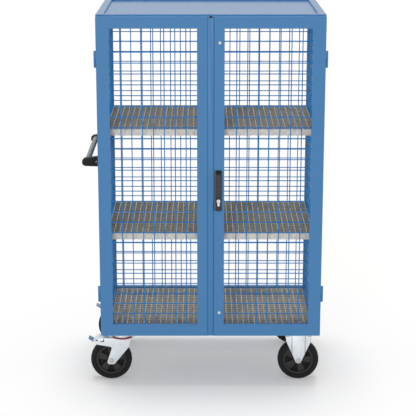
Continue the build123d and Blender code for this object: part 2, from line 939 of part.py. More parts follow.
def build_handle():
    """The push handle on the left end and the flat rail that carries it."""
    rail_middle = handle_height
    bolt_heights = (rail_middle - handle_bolt_spread / 2, rail_middle + handle_bolt_spread / 2)
    brackets = (handle_front + bracket_width / 2, handle_rear - bracket_width / 2)

    with BuildPart() as handle_rail:
        block(
            (-half_width, -half_width + handle_rail_thick),
            (inner_front, inner_rear),
            (rail_middle - handle_rail_height / 2, rail_middle + handle_rail_height / 2),
        )
        for y in brackets:
            for z in bolt_heights:
                disc(
                    lengthwise(-half_width),
                    (y, z),
                    handle_bolt_radius,
                    handle_rail_thick,
                    Mode.SUBTRACT,
                )
    handle_rail.part.label = "handle_rail"
    export_step(handle_rail.part, "parts/handle_rail.step")

    tube_run = (handle_front + bracket_width - bracket_socket, handle_rear - bracket_width + bracket_socket)
    with BuildPart() as handle_bar:
        plane = upright(tube_run[1])
        disc(plane, (-handle_left, handle_height), handle_radius, tube_run[1] - tube_run[0])
        disc(
            plane,
            (-handle_left, handle_height),
            handle_radius - handle_wall,
            tube_run[1] - tube_run[0],
            Mode.SUBTRACT,
        )
    handle_bar.part.label = "handle_bar"
    export_step(handle_bar.part, "parts/handle_bar.step")

    with BuildPart() as handle_brackets:
        for y in brackets:
            with BuildSketch(upright(y + bracket_width / 2)) as outline:
                with BuildLine():
                    tip_x = -(half_width + handle_reach - bracket_tip_radius)
                    tip = (tip_x, handle_height - bracket_tip_drop)
                    low = (tip_x, tip[1] - bracket_tip_radius)
                    high = (tip_x, tip[1] + bracket_tip_radius)
                    wall_low = (-half_width, handle_height - bracket_wall_height / 2)
                    wall_high = (-half_width, handle_height + bracket_wall_height / 2)
                    Line(low, wall_low)
                    Line(wall_low, wall_high)
                    Line(wall_high, high)
                    ThreePointArc(high, (tip_x - bracket_tip_radius, tip[1]), low)
                make_face()
            extrude(outline.sketch, amount=bracket_width)
        outer_faces = handle_brackets.faces().filter_by(Axis.Y)
        fillet(outer_faces.edges(), edge_round)
        disc(
            upright(tube_run[1] + running_gap),
            (-handle_left, handle_height),
            handle_radius + running_gap,
            tube_run[1] - tube_run[0] + 2 * running_gap,
            Mode.SUBTRACT,
        )
        for y in brackets:
            for z in bolt_heights:
                disc(
                    lengthwise(-half_width),
                    (y, z),
                    handle_bolt_radius,
                    -handle_bolt_bite,
                    Mode.SUBTRACT,
                )
        for face, into in cross_screw_faces():
            disc(
                upright(face),
                (-half_width - cross_screw_place, handle_height),
                cross_screw_radius,
                into * cross_screw_bite,
                Mode.SUBTRACT,
            )
    handle_brackets.part.label = "handle_brackets"
    export_step(handle_brackets.part, "parts/handle_brackets.step")

    with BuildPart() as handle_screws:
        for y in brackets:
            for z in bolt_heights:
                inner = lengthwise(-half_width + handle_rail_thick)
                disc(inner, (y, z), handle_bolt_radius, -(handle_rail_thick + handle_bolt_bite))
                disc(inner, (y, z), handle_bolt_head, handle_bolt_head_thick)
        for face, into in cross_screw_faces():
            centre = (-half_width - cross_screw_place, handle_height)
            disc(upright(face), centre, cross_screw_radius, into * cross_screw_bite)
            disc(upright(face), centre, 2 * cross_screw_radius, -into * cross_screw_head_thick)
    handle_screws.part.label = "handle_screws"
    export_step(handle_screws.part, "parts/handle_screws.step")


def cross_screw_faces():
    """The brackets' outer faces, each with the sign that points into the bracket from there."""
    return ((handle_front, -1), (handle_rear, 1))


def caster_plate(place, depth):
    """A caster's top plate with its four bolt holes, in the part that is open."""
    block(
        (place - caster_plate_length / 2, place + caster_plate_length / 2),
        (depth - caster_plate_width / 2, depth + caster_plate_width / 2),
        (plate_bottom, caster_height),
    )
    for x, y in bolt_places(place, depth):
        disc(level(plate_bottom), (x, y), caster_bolt_radius, caster_plate_thick, Mode.SUBTRACT)


def swivel_caster(row, depth):
    """A caster that swivels and trails to the left, with a brake pedal at its end."""
    place = -caster_place
    axle = place - swivel_trail
    fork_outer = fork_inner + fork_sheet

    with BuildPart() as plate:
        caster_plate(place, depth)
        race_bottom = crown_top + race_gap
        disc(level(race_bottom), (place, depth), race_radius, plate_bottom - race_bottom)
        chamfer(plate.faces().sort_by(Axis.Z)[0].edges(), race_chamfer / 2)
        disc(level(king_nut_bottom), (place, depth), king_pin_radius, plate_bottom - king_nut_bottom)
        nut_thick_here = crown_top - crown_thick - race_gap - king_nut_bottom
        disc(level(king_nut_bottom), (place, depth), king_nut_radius, nut_thick_here)
    plate.part.label = f"swivel_plate_{row}"
    export_step(plate.part, f"parts/swivel_plate_{row}.step")

    with BuildPart() as seal:
        disc(level(crown_top), (place, depth), seal_outer, seal_thick)
        fillet(seal.faces().sort_by(Axis.Z)[-1].edges(), seal_round)
        disc(level(crown_top), (place, depth), seal_inner, seal_thick, Mode.SUBTRACT)
    seal.part.label = f"dust_seal_{row}"
    export_step(seal.part, f"parts/dust_seal_{row}.step")

    top_edge = [
        (axle - cover_tip, cover_tip_z),
        (axle - cover_knee, crown_top),
        (axle + fork_right, crown_top),
    ]
    with BuildPart() as fork:
        for inner_face in (depth + fork_outer, depth - fork_inner):
            with BuildSketch(upright(inner_face)) as cheek:
                with BuildLine():
                    Polyline(
                        (axle - tip_radius, wheel_radius),
                        (axle + cover_inner_x, cover_inner_z),
                        (axle - cover_reach, cover_low),
                        *top_edge,
                        (axle + fork_right - fork_sheet, fork_right_low),
                        (axle + tip_radius, wheel_radius),
                    )
                    ThreePointArc(
                        (axle + tip_radius, wheel_radius),
                        (axle, wheel_radius - tip_radius),
                        (axle - tip_radius, wheel_radius),
                    )
                make_face()
            extrude(cheek.sketch, amount=fork_sheet)
        lowered = [(x, z - crown_thick) for x, z in reversed(top_edge)]
        prism(upright(depth + fork_outer), top_edge + lowered, 2 * fork_outer)
        crown_disc = level(crown_top - crown_thick)
        disc(crown_disc, (place, depth), seal_outer, crown_thick)
        disc(crown_disc, (place, depth), king_pin_radius + running_gap, crown_thick, Mode.SUBTRACT)
        axle_hole(axle, depth, fork_outer)
        disc(
            upright(depth + fork_outer),
            (axle - pedal_pivot_x, pedal_pivot_z),
            pedal_pin_radius + running_gap,
            2 * fork_outer,
            Mode.SUBTRACT,
        )
    fork.part.label = f"swivel_fork_{row}"
    export_step(fork.part, f"parts/swivel_fork_{row}.step")

    with BuildPart() as pedal:
        arm = [
            (axle - pedal_pivot_x, pedal_pivot_z + pedal_boss),
            (axle - pedal_pivot_x, pedal_pivot_z),
            (axle - pedal_shoe_x, pedal_shoe_z),
            (axle - pedal_knee_x + pedal_thick, pedal_knee_z - 2 * pedal_thick),
            (axle - pedal_knee_x, pedal_knee_z),
            (axle - pedal_neck_x - pedal_boss, pedal_neck_z),
            (axle - pedal_neck_x, pedal_neck_z),
        ]
        prism(upright(depth + pedal_arm_width / 2), arm, pedal_arm_width)
        tread = [
            (axle - pedal_knee_x, pedal_knee_z),
            (axle - pedal_end_x, pedal_end_z),
            (axle - pedal_end_x, pedal_end_z - pedal_thick),
            (axle - pedal_knee_x + pedal_thick, pedal_knee_z - 2 * pedal_thick),
        ]
        prism(upright(depth + pedal_tread_width / 2), tread, pedal_tread_width)
        pivot_centre = (axle - pedal_pivot_x, pedal_pivot_z)
        disc(upright(depth + pedal_arm_width / 2), pivot_centre, pedal_boss, pedal_arm_width)
        disc(upright(depth + fork_outer), pivot_centre, pedal_pin_radius, 2 * fork_outer)
    pedal.part.label = f"brake_pedal_{row}"
    export_step(pedal.part, f"parts/brake_pedal_{row}.step")

    with BuildPart() as bolt:
        axle_bolt(axle, depth, fork_outer)
    bolt.part.label = f"swivel_axle_{row}"
    export_step(bolt.part, f"parts/swivel_axle_{row}.step")
    wheel(f"{row}_left", axle, depth, left_spoke_angle)


def axle_hole(axle, depth, fork_outer):
    """The hole for the axle bolt through both cheeks."""
    disc(
        upright(depth + fork_outer),
        (axle, wheel_radius),
        axle_radius + running_gap,
        2 * fork_outer,
        Mode.SUBTRACT,
    )


def axle_bolt(axle, depth, fork_outer):
    """An axle bolt with its head in front of the fork and its nut behind."""
    centre = (axle, wheel_radius)
    rear = depth + fork_outer
    disc(upright(rear + nut_thick), centre, axle_radius, 2 * (fork_outer + nut_thick))
    hexagon(upright(rear + nut_thick), centre, nut_flats, nut_thick)
    hexagon(upright(depth - fork_outer), centre, nut_flats, nut_thick)


def fixed_caster(row, depth):
    """A caster that doesn't swivel, its fork bent from one sheet with a swaged middle."""
    place = caster_place
    fork_outer = fork_inner + fork_sheet
    with BuildPart() as fork:
        for out in (-1, 1):
            with BuildPart(mode=Mode.PRIVATE) as cheek:
                inside, outside = out * (fork_inner - fixed_swage), out * (fork_outer - fixed_swage)
                swaged_in, swaged_out = out * fork_inner, out * fork_outer
                fold, edge = fixed_fold - fixed_fold_width, fixed_fold
                section = [
                    (place - fixed_half, depth + inside),
                    (place - edge, depth + inside),
                    (place - fold, depth + swaged_in),
                    (place + fold, depth + swaged_in),
                    (place + edge, depth + inside),
                    (place + fixed_half, depth + inside),
                    (place + fixed_half, depth + outside),
                    (place + edge, depth + outside),
                    (place + fold, depth + swaged_out),
                    (place - fold, depth + swaged_out),
                    (place - edge, depth + outside),
                    (place - fixed_half, depth + outside),
                ]
                low = wheel_radius - tip_radius
                prism(level(low), section, plate_bottom - low)
                with BuildSketch(upright(depth + fork_outer)) as outline:
                    with BuildLine():
                        Polyline(
                            (place - tip_radius, wheel_radius),
                            (place - fixed_half, fixed_shoulder),
                            (place - fixed_half, plate_bottom),
                            (place + fixed_half, plate_bottom),
                            (place + fixed_half, fixed_shoulder),
                            (place + tip_radius, wheel_radius),
                        )
                        ThreePointArc(
                            (place + tip_radius, wheel_radius),
                            (place, low),
                            (place - tip_radius, wheel_radius),
                        )
                    make_face()
                extrude(outline.sketch, amount=2 * fork_outer, mode=Mode.INTERSECT)
            add(cheek.part)
        caster_plate(place, depth)
        axle_hole(place, depth, fork_outer)
    fork.part.label = f"fixed_fork_{row}"
    export_step(fork.part, f"parts/fixed_fork_{row}.step")
    wheel(f"{row}_right", place, depth, right_spoke_angle)


def wheel(corner, axle, depth, spoke_angle):
    """A five-spoke rim that turns on the axle bolt, and the rubber tyre on it."""
    centre = (axle, wheel_radius)
    lip_inner = tyre_inner - rim_lip
    with BuildPart() as rim:
        disc(upright(depth + rim_half), centre, tyre_inner - running_gap, 2 * rim_half)
        for face, into in ((depth + web_half, -1), (depth - web_half, 1)):
            disc(upright(face), centre, lip_inner, into * (rim_half - web_half), Mode.SUBTRACT)
        reach = lip_inner + rim_lip / 2
        half = lip_inner * tan(radians(spoke_half_angle))
        for n in range(spoke_count):
            prism(
                turned(depth + spoke_half, centre, spoke_angle + 360 * n / spoke_count),
                [(0, -half / 2), (reach, -half), (reach, half), (0, half / 2)],
                2 * spoke_half,
            )
        disc(upright(depth + hub_half), centre, hub_radius, 2 * hub_half)
        disc(
            upright(depth + hub_half),
            centre,
            axle_radius + running_gap,
            2 * hub_half,
            Mode.SUBTRACT,
        )
    rim.part.label = f"rim_{corner}"
    export_step(rim.part, f"parts/rim_{corner}.step")

    with BuildPart() as tyre:
        disc(upright(depth + wheel_width / 2), centre, wheel_radius, wheel_width)
        fillet(tyre.edges(), tyre_round)
        disc(upright(depth + wheel_width / 2), centre, tyre_inner, wheel_width, Mode.SUBTRACT)
    tyre.part.label = f"tyre_{corner}"
    export_step(tyre.part, f"parts/tyre_{corner}.step")


def build_casters():
    """Swivel casters with brakes on the left, fixed casters on the right, and their bolts."""
    for row, depth in (("front", front_wheels), ("rear", rear_wheels)):
        swivel_caster(row, depth)
        fixed_caster(row, depth)

    with BuildPart() as fixed_axles:
        for depth in (front_wheels, rear_wheels):
            axle_bolt(caster_place, depth, fork_inner + fork_sheet)
    fixed_axles.part.label = "fixed_axles"
    export_step(fixed_axles.part, "parts/fixed_axles.step")

    with BuildPart() as caster_bolts:
        for depth in (front_wheels, rear_wheels):
            for place in (-caster_place, caster_place):
                for x, y in bolt_places(place, depth):
                    disc(level(plate_bottom), (x, y), caster_bolt_radius, caster_plate_thick + rail_thick)
                    hexagon(level(plate_bottom), (x, y), caster_bolt_flats, -caster_bolt_head_thick)
    caster_bolts.part.label = "caster_bolts"
    export_step(caster_bolts.part, "parts/caster_bolts.step")


build_frame()
build_walls()
build_shelves()
build_doors()
build_hinges()
build_lock()
build_lock_motion()
build_handle()
build_casters()
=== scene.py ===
"""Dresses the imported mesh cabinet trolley: rounded tubes, round wires, close gratings and casters."""

from itertools import product
from math import atan2, cos, hypot, pi, radians, sin, tan

import bmesh
import bpy
from mathutils import Matrix, Vector


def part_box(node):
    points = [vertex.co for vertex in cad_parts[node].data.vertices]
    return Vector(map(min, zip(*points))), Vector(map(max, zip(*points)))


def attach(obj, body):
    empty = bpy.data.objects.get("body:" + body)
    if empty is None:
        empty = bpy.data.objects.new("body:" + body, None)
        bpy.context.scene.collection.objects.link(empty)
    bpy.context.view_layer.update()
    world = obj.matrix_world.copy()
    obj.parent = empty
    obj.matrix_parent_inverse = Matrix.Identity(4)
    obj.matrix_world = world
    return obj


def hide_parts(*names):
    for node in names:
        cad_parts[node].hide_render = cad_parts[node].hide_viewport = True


bl_info = {
    "name": "Mesh cabinet trolley",
    "version": (1, 0, 0),
    "blender": (4, 5, 0),
    "location": "3D View > Sidebar > Trolley",
    "description": "Builds the looks of a mesh cabinet trolley around its packed model",
    "category": "Object",
}

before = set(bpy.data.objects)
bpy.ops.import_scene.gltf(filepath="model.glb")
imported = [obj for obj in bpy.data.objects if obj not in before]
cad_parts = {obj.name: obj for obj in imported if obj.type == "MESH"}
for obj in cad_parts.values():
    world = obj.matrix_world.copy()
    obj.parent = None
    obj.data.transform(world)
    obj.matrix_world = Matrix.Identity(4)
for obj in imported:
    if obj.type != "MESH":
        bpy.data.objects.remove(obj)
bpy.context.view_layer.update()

# Places are given in metres from the cabinet's centre line, the doors' front face and the floor
POSTS_LOW, POSTS_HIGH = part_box("corner_posts")
CENTRE_X = (POSTS_LOW.x + POSTS_HIGH.x) / 2
DOOR_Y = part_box("door_frame_left")[0].y
ROWS = {"front": 0.118, "rear": 0.626}
SIDES = {"left": -1, "right": 1}
# Casters: the swivel ones' king pins and axles, the fixed ones' axles, and the brakes' pivots beside an axle
PIN_X, SWIVEL_X, FIXED_X, BRAKE_X = -0.428, -0.4825, 0.428, -0.058
AXLE_Z, BRAKE_Z, PLATE_Z = 0.1, 0.194, 0.234
RIGHT, BACK, UP = Vector((1, 0, 0)), Vector((0, 1, 0)), Vector((0, 0, 1))


def spot(x, y, z):
    """A place in the frame, from the cabinet's own centre line and door face."""
    return Vector((CENTRE_X + x, DOOR_Y + y, z))


# Properties


def length(name, description, default):
    return bpy.props.FloatProperty(
        name=name, description=description, default=default, unit="LENGTH", precision=4
    )


def colour(name, description, default):
    return bpy.props.FloatVectorProperty(
        name=name, description=description, default=default, subtype="COLOR", size=3, min=0, max=1
    )


class TrolleyColours(bpy.types.PropertyGroup):
    """Colours of the trolley's finishes and of the stage."""

    blue: colour("Blue paint", "Powder coat of the frame and doors", (0.058, 0.230, 0.500))
    # Roof: a darker copy of the blue coat for upward faces, painted shade against the stronger light from
    # above
    roof: colour("Roof paint", "The same coat where it lies flat under the sky", (0.029, 0.157, 0.378))
    zinc: colour("Zinc", "Bright zinc plating of forks, plates and bolts", (0.85, 0.89, 0.925))
    # Bolts: the same duller zinc is also put on the fixed forks' folds as painted shade
    bolt: colour("Bolts", "Duller zinc of bolts, nuts and axle ends", (0.52, 0.54, 0.57))
    screw: colour("Screws", "Yellowish screw heads on the doors", (0.84, 0.79, 0.68))
    pedal: colour("Pedal", "Blued steel of the brake treads", (0.25, 0.37, 0.54))
    # Door wires: a lighter copy of the blue coat, painted light against the wires' own shade
    wire: colour("Door wires", "Powder coat of the doors' thin wires", (0.028, 0.245, 0.62))
    # Wall wires: lighter still, painted light against the shade inside the cabinet
    wall_wire: colour("Wall wires", "Powder coat of the walls' thin wires", (0.038, 0.32, 0.74))
    grating: colour("Grating bands", "Galvanised edge bands of the deck and shelves", (0.755, 0.73, 0.67))
    # Shelf and deck bars: darker copies of the galvanised colour, painted shade in the cells, the shelves'
    # darker inside the cabinet
    bars: colour("Grating bars", "Galvanised bars of the shelves", (0.365, 0.33, 0.265))
    deck: colour("Deck bars", "Galvanised bars of the deck", (0.56, 0.52, 0.44))
    # Rods: a lighter copy of the galvanised colour, painted highlight on their tops
    rods: colour("Grating rods", "Brighter cross rods of the deck and shelves", (0.95, 0.93, 0.86))
    tube: colour("Handle tube", "Brushed steel of the push handle", (0.20, 0.20, 0.205))
    plastic: colour("Black plastic", "Handle brackets and rod guides", (0.008, 0.008, 0.0085))
    lock: colour("Lock", "Fine black coat of the lock", (0.030, 0.030, 0.030))
    lever: colour("Lever", "Dark grey coat of the swing lever", (0.050, 0.050, 0.047))
    nickel: colour("Nickel", "Key cylinder", (0.80, 0.79, 0.76))
    tyre: colour("Tyre", "Rubber of the tyres", (0.0115, 0.0115, 0.0115))
    rim: colour("Rim", "Plastic of the rims", (0.040, 0.040, 0.040))
    # Pockets: a darker copy of the rim's plastic, painted shade in the pockets between spokes and in the
    # lock's finger recess
    pocket: colour("Rim pockets", "Dusty floor of the pockets between spokes", (0.018, 0.018, 0.018))
    seal: colour("Seal", "Dust seals of the swivel casters", (0.33, 0.022, 0.030))
    floor: colour("Floor", "Pale floor of the stage", (0.87, 0.86, 0.845))


class TrolleySizes(bpy.types.PropertyGroup):
    """Sizes of the trolley's dressed pieces."""

    tube_round: length("Tube rounding", "Outer corner radius of the square tubes", 0.0018)
    wire_radius: length("Wire radius", "Half the thickness of a mesh wire", 0.0024)
    wire_pitch: length("Wire pitch", "Distance between mesh wires", 0.050)
    weld_sink: length("Weld sink", "How far crossing wires sink into each other", 0.0008)
    bar_thick: length("Bar thickness", "Thickness of a grating bar", 0.002)
    band_thick: length("Band thickness", "Thickness of a grating's edge band", 0.003)
    cross_deep: length("Cross rod depth", "Depth of the grating's cross rods", 0.012)
    cross_wide: length("Cross rod width", "Width of the grating's cross rods", 0.003)
    wheel_radius: length("Wheel radius", "Radius of a wheel with its tyre", 0.100)
    fork_sheet: length("Fork sheet", "Sheet thickness of the caster forks", 0.0037)
    fork_inner: length("Fork inside", "Half the room between a fork's cheeks", 0.0303)


# Mesh tools


def add_block(bm, low, high):
    """A block between two corners. Returns its vertices."""
    low, high = Vector(low), Vector(high)
    verts = bmesh.ops.create_cube(bm, size=1)["verts"]
    bmesh.ops.scale(bm, vec=high - low, verts=verts)
    bmesh.ops.translate(bm, vec=(low + high) / 2, verts=verts)
    return verts


def add_rounded_block(bm, low, high, width, steps=2):
    """A block between two corners, rounded all round."""
    round_shell(bm, add_block(bm, low, high), width, steps)


def add_rod(bm, start, end, radius, steps):
    """A round or many-sided bar between two points. Returns its vertices."""
    along = end - start
    place = Matrix.Translation((start + end) / 2) @ along.to_track_quat("Z", "X").to_matrix().to_4x4()
    sizes = {"segments": steps, "radius1": radius, "radius2": radius, "depth": along.length}
    return bmesh.ops.create_cone(bm, cap_ends=True, matrix=place, **sizes)["verts"]


def add_lathe(bm, profile, centre, axis, steps, closed=False):
    """A profile of (radius, place along the axis) turned about the axis. Returns its vertices."""
    axis = axis.normalized()
    out = axis.orthogonal().normalized()
    verts = [bm.verts.new(centre + out * radius + axis * along) for radius, along in profile]
    edges = [bm.edges.new(pair) for pair in zip(verts, verts[1:])]
    if closed:
        edges.append(bm.edges.new((verts[-1], verts[0])))
    before = set(bm.verts) - set(verts)
    turn = 2 * pi
    bmesh.ops.spin(bm, geom=verts + edges, cent=centre, axis=axis, angle=turn, steps=steps, use_merge=True)
    made = [v for v in bm.verts if v not in before]
    bmesh.ops.remove_doubles(bm, verts=made, dist=1e-6)
    return [v for v in bm.verts if v not in before]


def thicken(bm, faces, thickness):
    """Gives flat faces a thickness along a vector."""
    grown = bmesh.ops.extrude_face_region(bm, geom=faces, use_keep_orig=True)
    moved = [v for v in grown["geom"] if isinstance(v, bmesh.types.BMVert)]
    bmesh.ops.translate(bm, vec=thickness, verts=moved)


def add_plate(bm, outline, thickness, width, steps=2, sharp=30):
    """A flat outline of points, thickened along a vector and rounded where it folds by more than an angle."""
    before = set(bm.verts)
    thicken(bm, [bm.faces.new([bm.verts.new(point) for point in outline])], thickness)
    round_shell(bm, [v for v in bm.verts if v not in before], width, steps, sharp)


def add_upright_plate(bm, x, outline, y, thick, *rounding):
    """A rounded plate from an outline of (place beside x, height), as thick as given from y on."""
    add_plate(bm, [spot(x + beside, y, z) for beside, z in outline], Vector((0, thick, 0)), *rounding)


def arc(centre_x, centre_z, radius, start, end, steps):
    """Places on an arc, in degrees from +X."""
    turns = [radians(start + (end - start) * n / steps) for n in range(steps + 1)]
    return [(centre_x + radius * cos(turn), centre_z + radius * sin(turn)) for turn in turns]


def both_faces(half):
    """A closed profile from its half on the +Y side."""
    return half + [(radius, -along) for radius, along in reversed(half)]


def edges_of(verts, sharp=30):
    """The edges among these vertices that fold by more than an angle in degrees."""
    found = {e for v in verts for e in v.link_edges}
    return [e for e in found if e.is_manifold and e.calc_face_angle(0) > radians(sharp)]


def round_edges(bm, edges, width, steps=2):
    """Rounds edges over."""
    bmesh.ops.bevel(
        bm, geom=edges, offset=width, offset_type="OFFSET", segments=steps, profile=0.5, affect="EDGES",
        clamp_overlap=True, material=-1,
    )


def round_shell(bm, verts, width, steps=2, sharp=30):
    """Rounds all the sharp edges of one shell."""
    bmesh.ops.recalc_face_normals(bm, faces=list({f for v in verts for f in v.link_faces}))
    round_edges(bm, edges_of(verts, sharp), width, steps)


def set_shading(bm, smooth_angle):
    """Smooths rounded faces and keeps broad flat ones flat up to their edges."""
    flat, limit, alike = 0.001, radians(smooth_angle), 0.6
    areas = {face: face.calc_area() for face in bm.faces}
    for face, area in areas.items():
        near = [other for edge in face.edges for other in edge.link_faces if other is not face]
        large = [other for other in near if areas[other] > alike * area]
        face.smooth = any(flat < face.normal.angle(other.normal, 0) < limit for other in large)


def add_piece(bm, name, body, material, replaced=(), smooth_angle=38, second=None):
    """Makes a mesh piece that rides on a body, in one or two finishes, in place of CAD nodes."""
    bmesh.ops.recalc_face_normals(bm, faces=bm.faces)
    set_shading(bm, smooth_angle)
    mesh = bpy.data.meshes.new(name)
    bm.to_mesh(mesh)
    bm.free()
    mesh.materials.append(bpy.data.materials[material])
    if second:
        mesh.materials.append(bpy.data.materials[second])
    mesh.set_sharp_from_angle(angle=radians(smooth_angle))
    piece = bpy.data.objects.new(name, mesh)
    bpy.context.scene.collection.objects.link(piece)
    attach(piece, body)
    if replaced:
        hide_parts(*replaced)
    return piece


def paint(material, *nodes):
    """Gives CAD nodes a finish."""
    for node in nodes:
        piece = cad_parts[node]
        for place in piece.material_slots:
            place.material = bpy.data.materials[material]


# Finishes


def add_node(tree, kind, **values):
    """A shader node with its sockets or settings given by name."""
    node = tree.nodes.new(kind)
    for name, value in values.items():
        label = name.replace("_", " ")
        if label in node.inputs:
            node.inputs[label].default_value = value
        else:
            setattr(node, name, value)
    return node


def join(tree, *links):
    """Links nodes. A link is a node and its output, then a node and its input."""
    for start, output, end, entry in links:
        tree.links.new(start.outputs[output], end.inputs[entry])


def empty_tree(owner):
    """The cleared node tree of a material or world."""
    owner.use_nodes = True
    owner.node_tree.nodes.clear()
    return owner.node_tree


def any_ray(tree, *kinds):
    """A node and its output, 1 for rays of these kinds and 0 for all others."""
    path = add_node(tree, "ShaderNodeLightPath")
    found = path, f"Is {kinds[0]} Ray"
    for kind in kinds[1:]:
        either = add_node(tree, "ShaderNodeMath", operation="MAXIMUM")
        join(tree, (*found, either, 0), (path, f"Is {kind} Ray", either, 1))
        found = either, 0
    return found


SURFACE_INPUTS = (
    ("Place", "NodeSocketVector", (0, 0, 0)),
    ("Colour", "NodeSocketColor", (0.5, 0.5, 0.5, 1)),
    ("Patch Scale", "NodeSocketFloat", 6.0),
    ("Grain Scale", "NodeSocketFloat", 700.0),
    ("Contrast", "NodeSocketFloat", 0.1),
    ("Smooth", "NodeSocketFloat", 0.3),
    ("Rough", "NodeSocketFloat", 0.5),
)
SURFACE_OUTPUTS = (
    ("Colour", "NodeSocketColor"),
    ("Roughness", "NodeSocketFloat"),
    ("Height", "NodeSocketFloat"),
)
NOISE, CELLS = "ShaderNodeTexNoise", "ShaderNodeTexVoronoi"
SURFACES = {
    # group: kind of patches, their values, the grain's values, how far the grain is stretched
    "powder_grain": (NOISE, {"Detail": 3, "Roughness": 0.55}, {"Detail": 2, "Roughness": 0.5}, None),
    "zinc_spangle": (CELLS, {"Randomness": 1}, {"Detail": 3, "Roughness": 0.6}, None),
    "brushed_streaks": (NOISE, {"Detail": 2}, {"Detail": 4, "Roughness": 0.7}, (1, 0.02, 1)),
}


def surface_group(name, patch_kind, patch_values, grain_values, stretch):
    """A group of large patches and a fine grain. A stretched grain is brushing, and colours the surface."""
    group = bpy.data.node_groups.new(name, "ShaderNodeTree")
    for label, kind, default in SURFACE_INPUTS:
        group.interface.new_socket(name=label, in_out="INPUT", socket_type=kind).default_value = default
    for label, kind in SURFACE_OUTPUTS:
        group.interface.new_socket(name=label, in_out="OUTPUT", socket_type=kind)
    entry, end = add_node(group, "NodeGroupInput"), add_node(group, "NodeGroupOutput")
    patches, grain = add_node(group, patch_kind, **patch_values), add_node(group, NOISE, **grain_values)
    for texture, scale in ((patches, "Patch Scale"), (grain, "Grain Scale")):
        join(group, (entry, "Place", texture, "Vector"), (entry, scale, texture, "Scale"))
    tint_mask, rough_mask = (patches, 0), (grain, 0)
    if stretch:
        pull = add_node(group, "ShaderNodeMapping", Scale=stretch)
        join(group, (entry, "Place", pull, "Vector"), (pull, 0, grain, "Vector"))
        tint_mask, rough_mask = rough_mask, tint_mask
    if patch_kind == CELLS:
        channels = add_node(group, "ShaderNodeSeparateColor")
        join(group, (patches, "Color", channels, 0))
        tint_mask, rough_mask = (channels, 0), (channels, 1)
    from_middle = add_node(group, "ShaderNodeMath", operation="SUBTRACT")
    from_middle.inputs[1].default_value = 0.5
    spread = add_node(group, "ShaderNodeMath", operation="MULTIPLY_ADD")
    spread.inputs[2].default_value = 1.0
    tint = add_node(group, "ShaderNodeVectorMath", operation="SCALE")
    rough = add_node(group, "ShaderNodeMapRange")
    join(
        group,
        (*tint_mask, from_middle, 0),
        (from_middle, 0, spread, 0),
        (entry, "Contrast", spread, 1),
        (entry, "Colour", tint, 0),
        (spread, 0, tint, "Scale"),
        (tint, 0, end, "Colour"),
        (*rough_mask, rough, "Value"),
        (entry, "Smooth", rough, "To Min"),
        (entry, "Rough", rough, "To Max"),
        (rough, "Result", end, "Roughness"),
        (grain, 0, end, "Height"),
    )
    return group


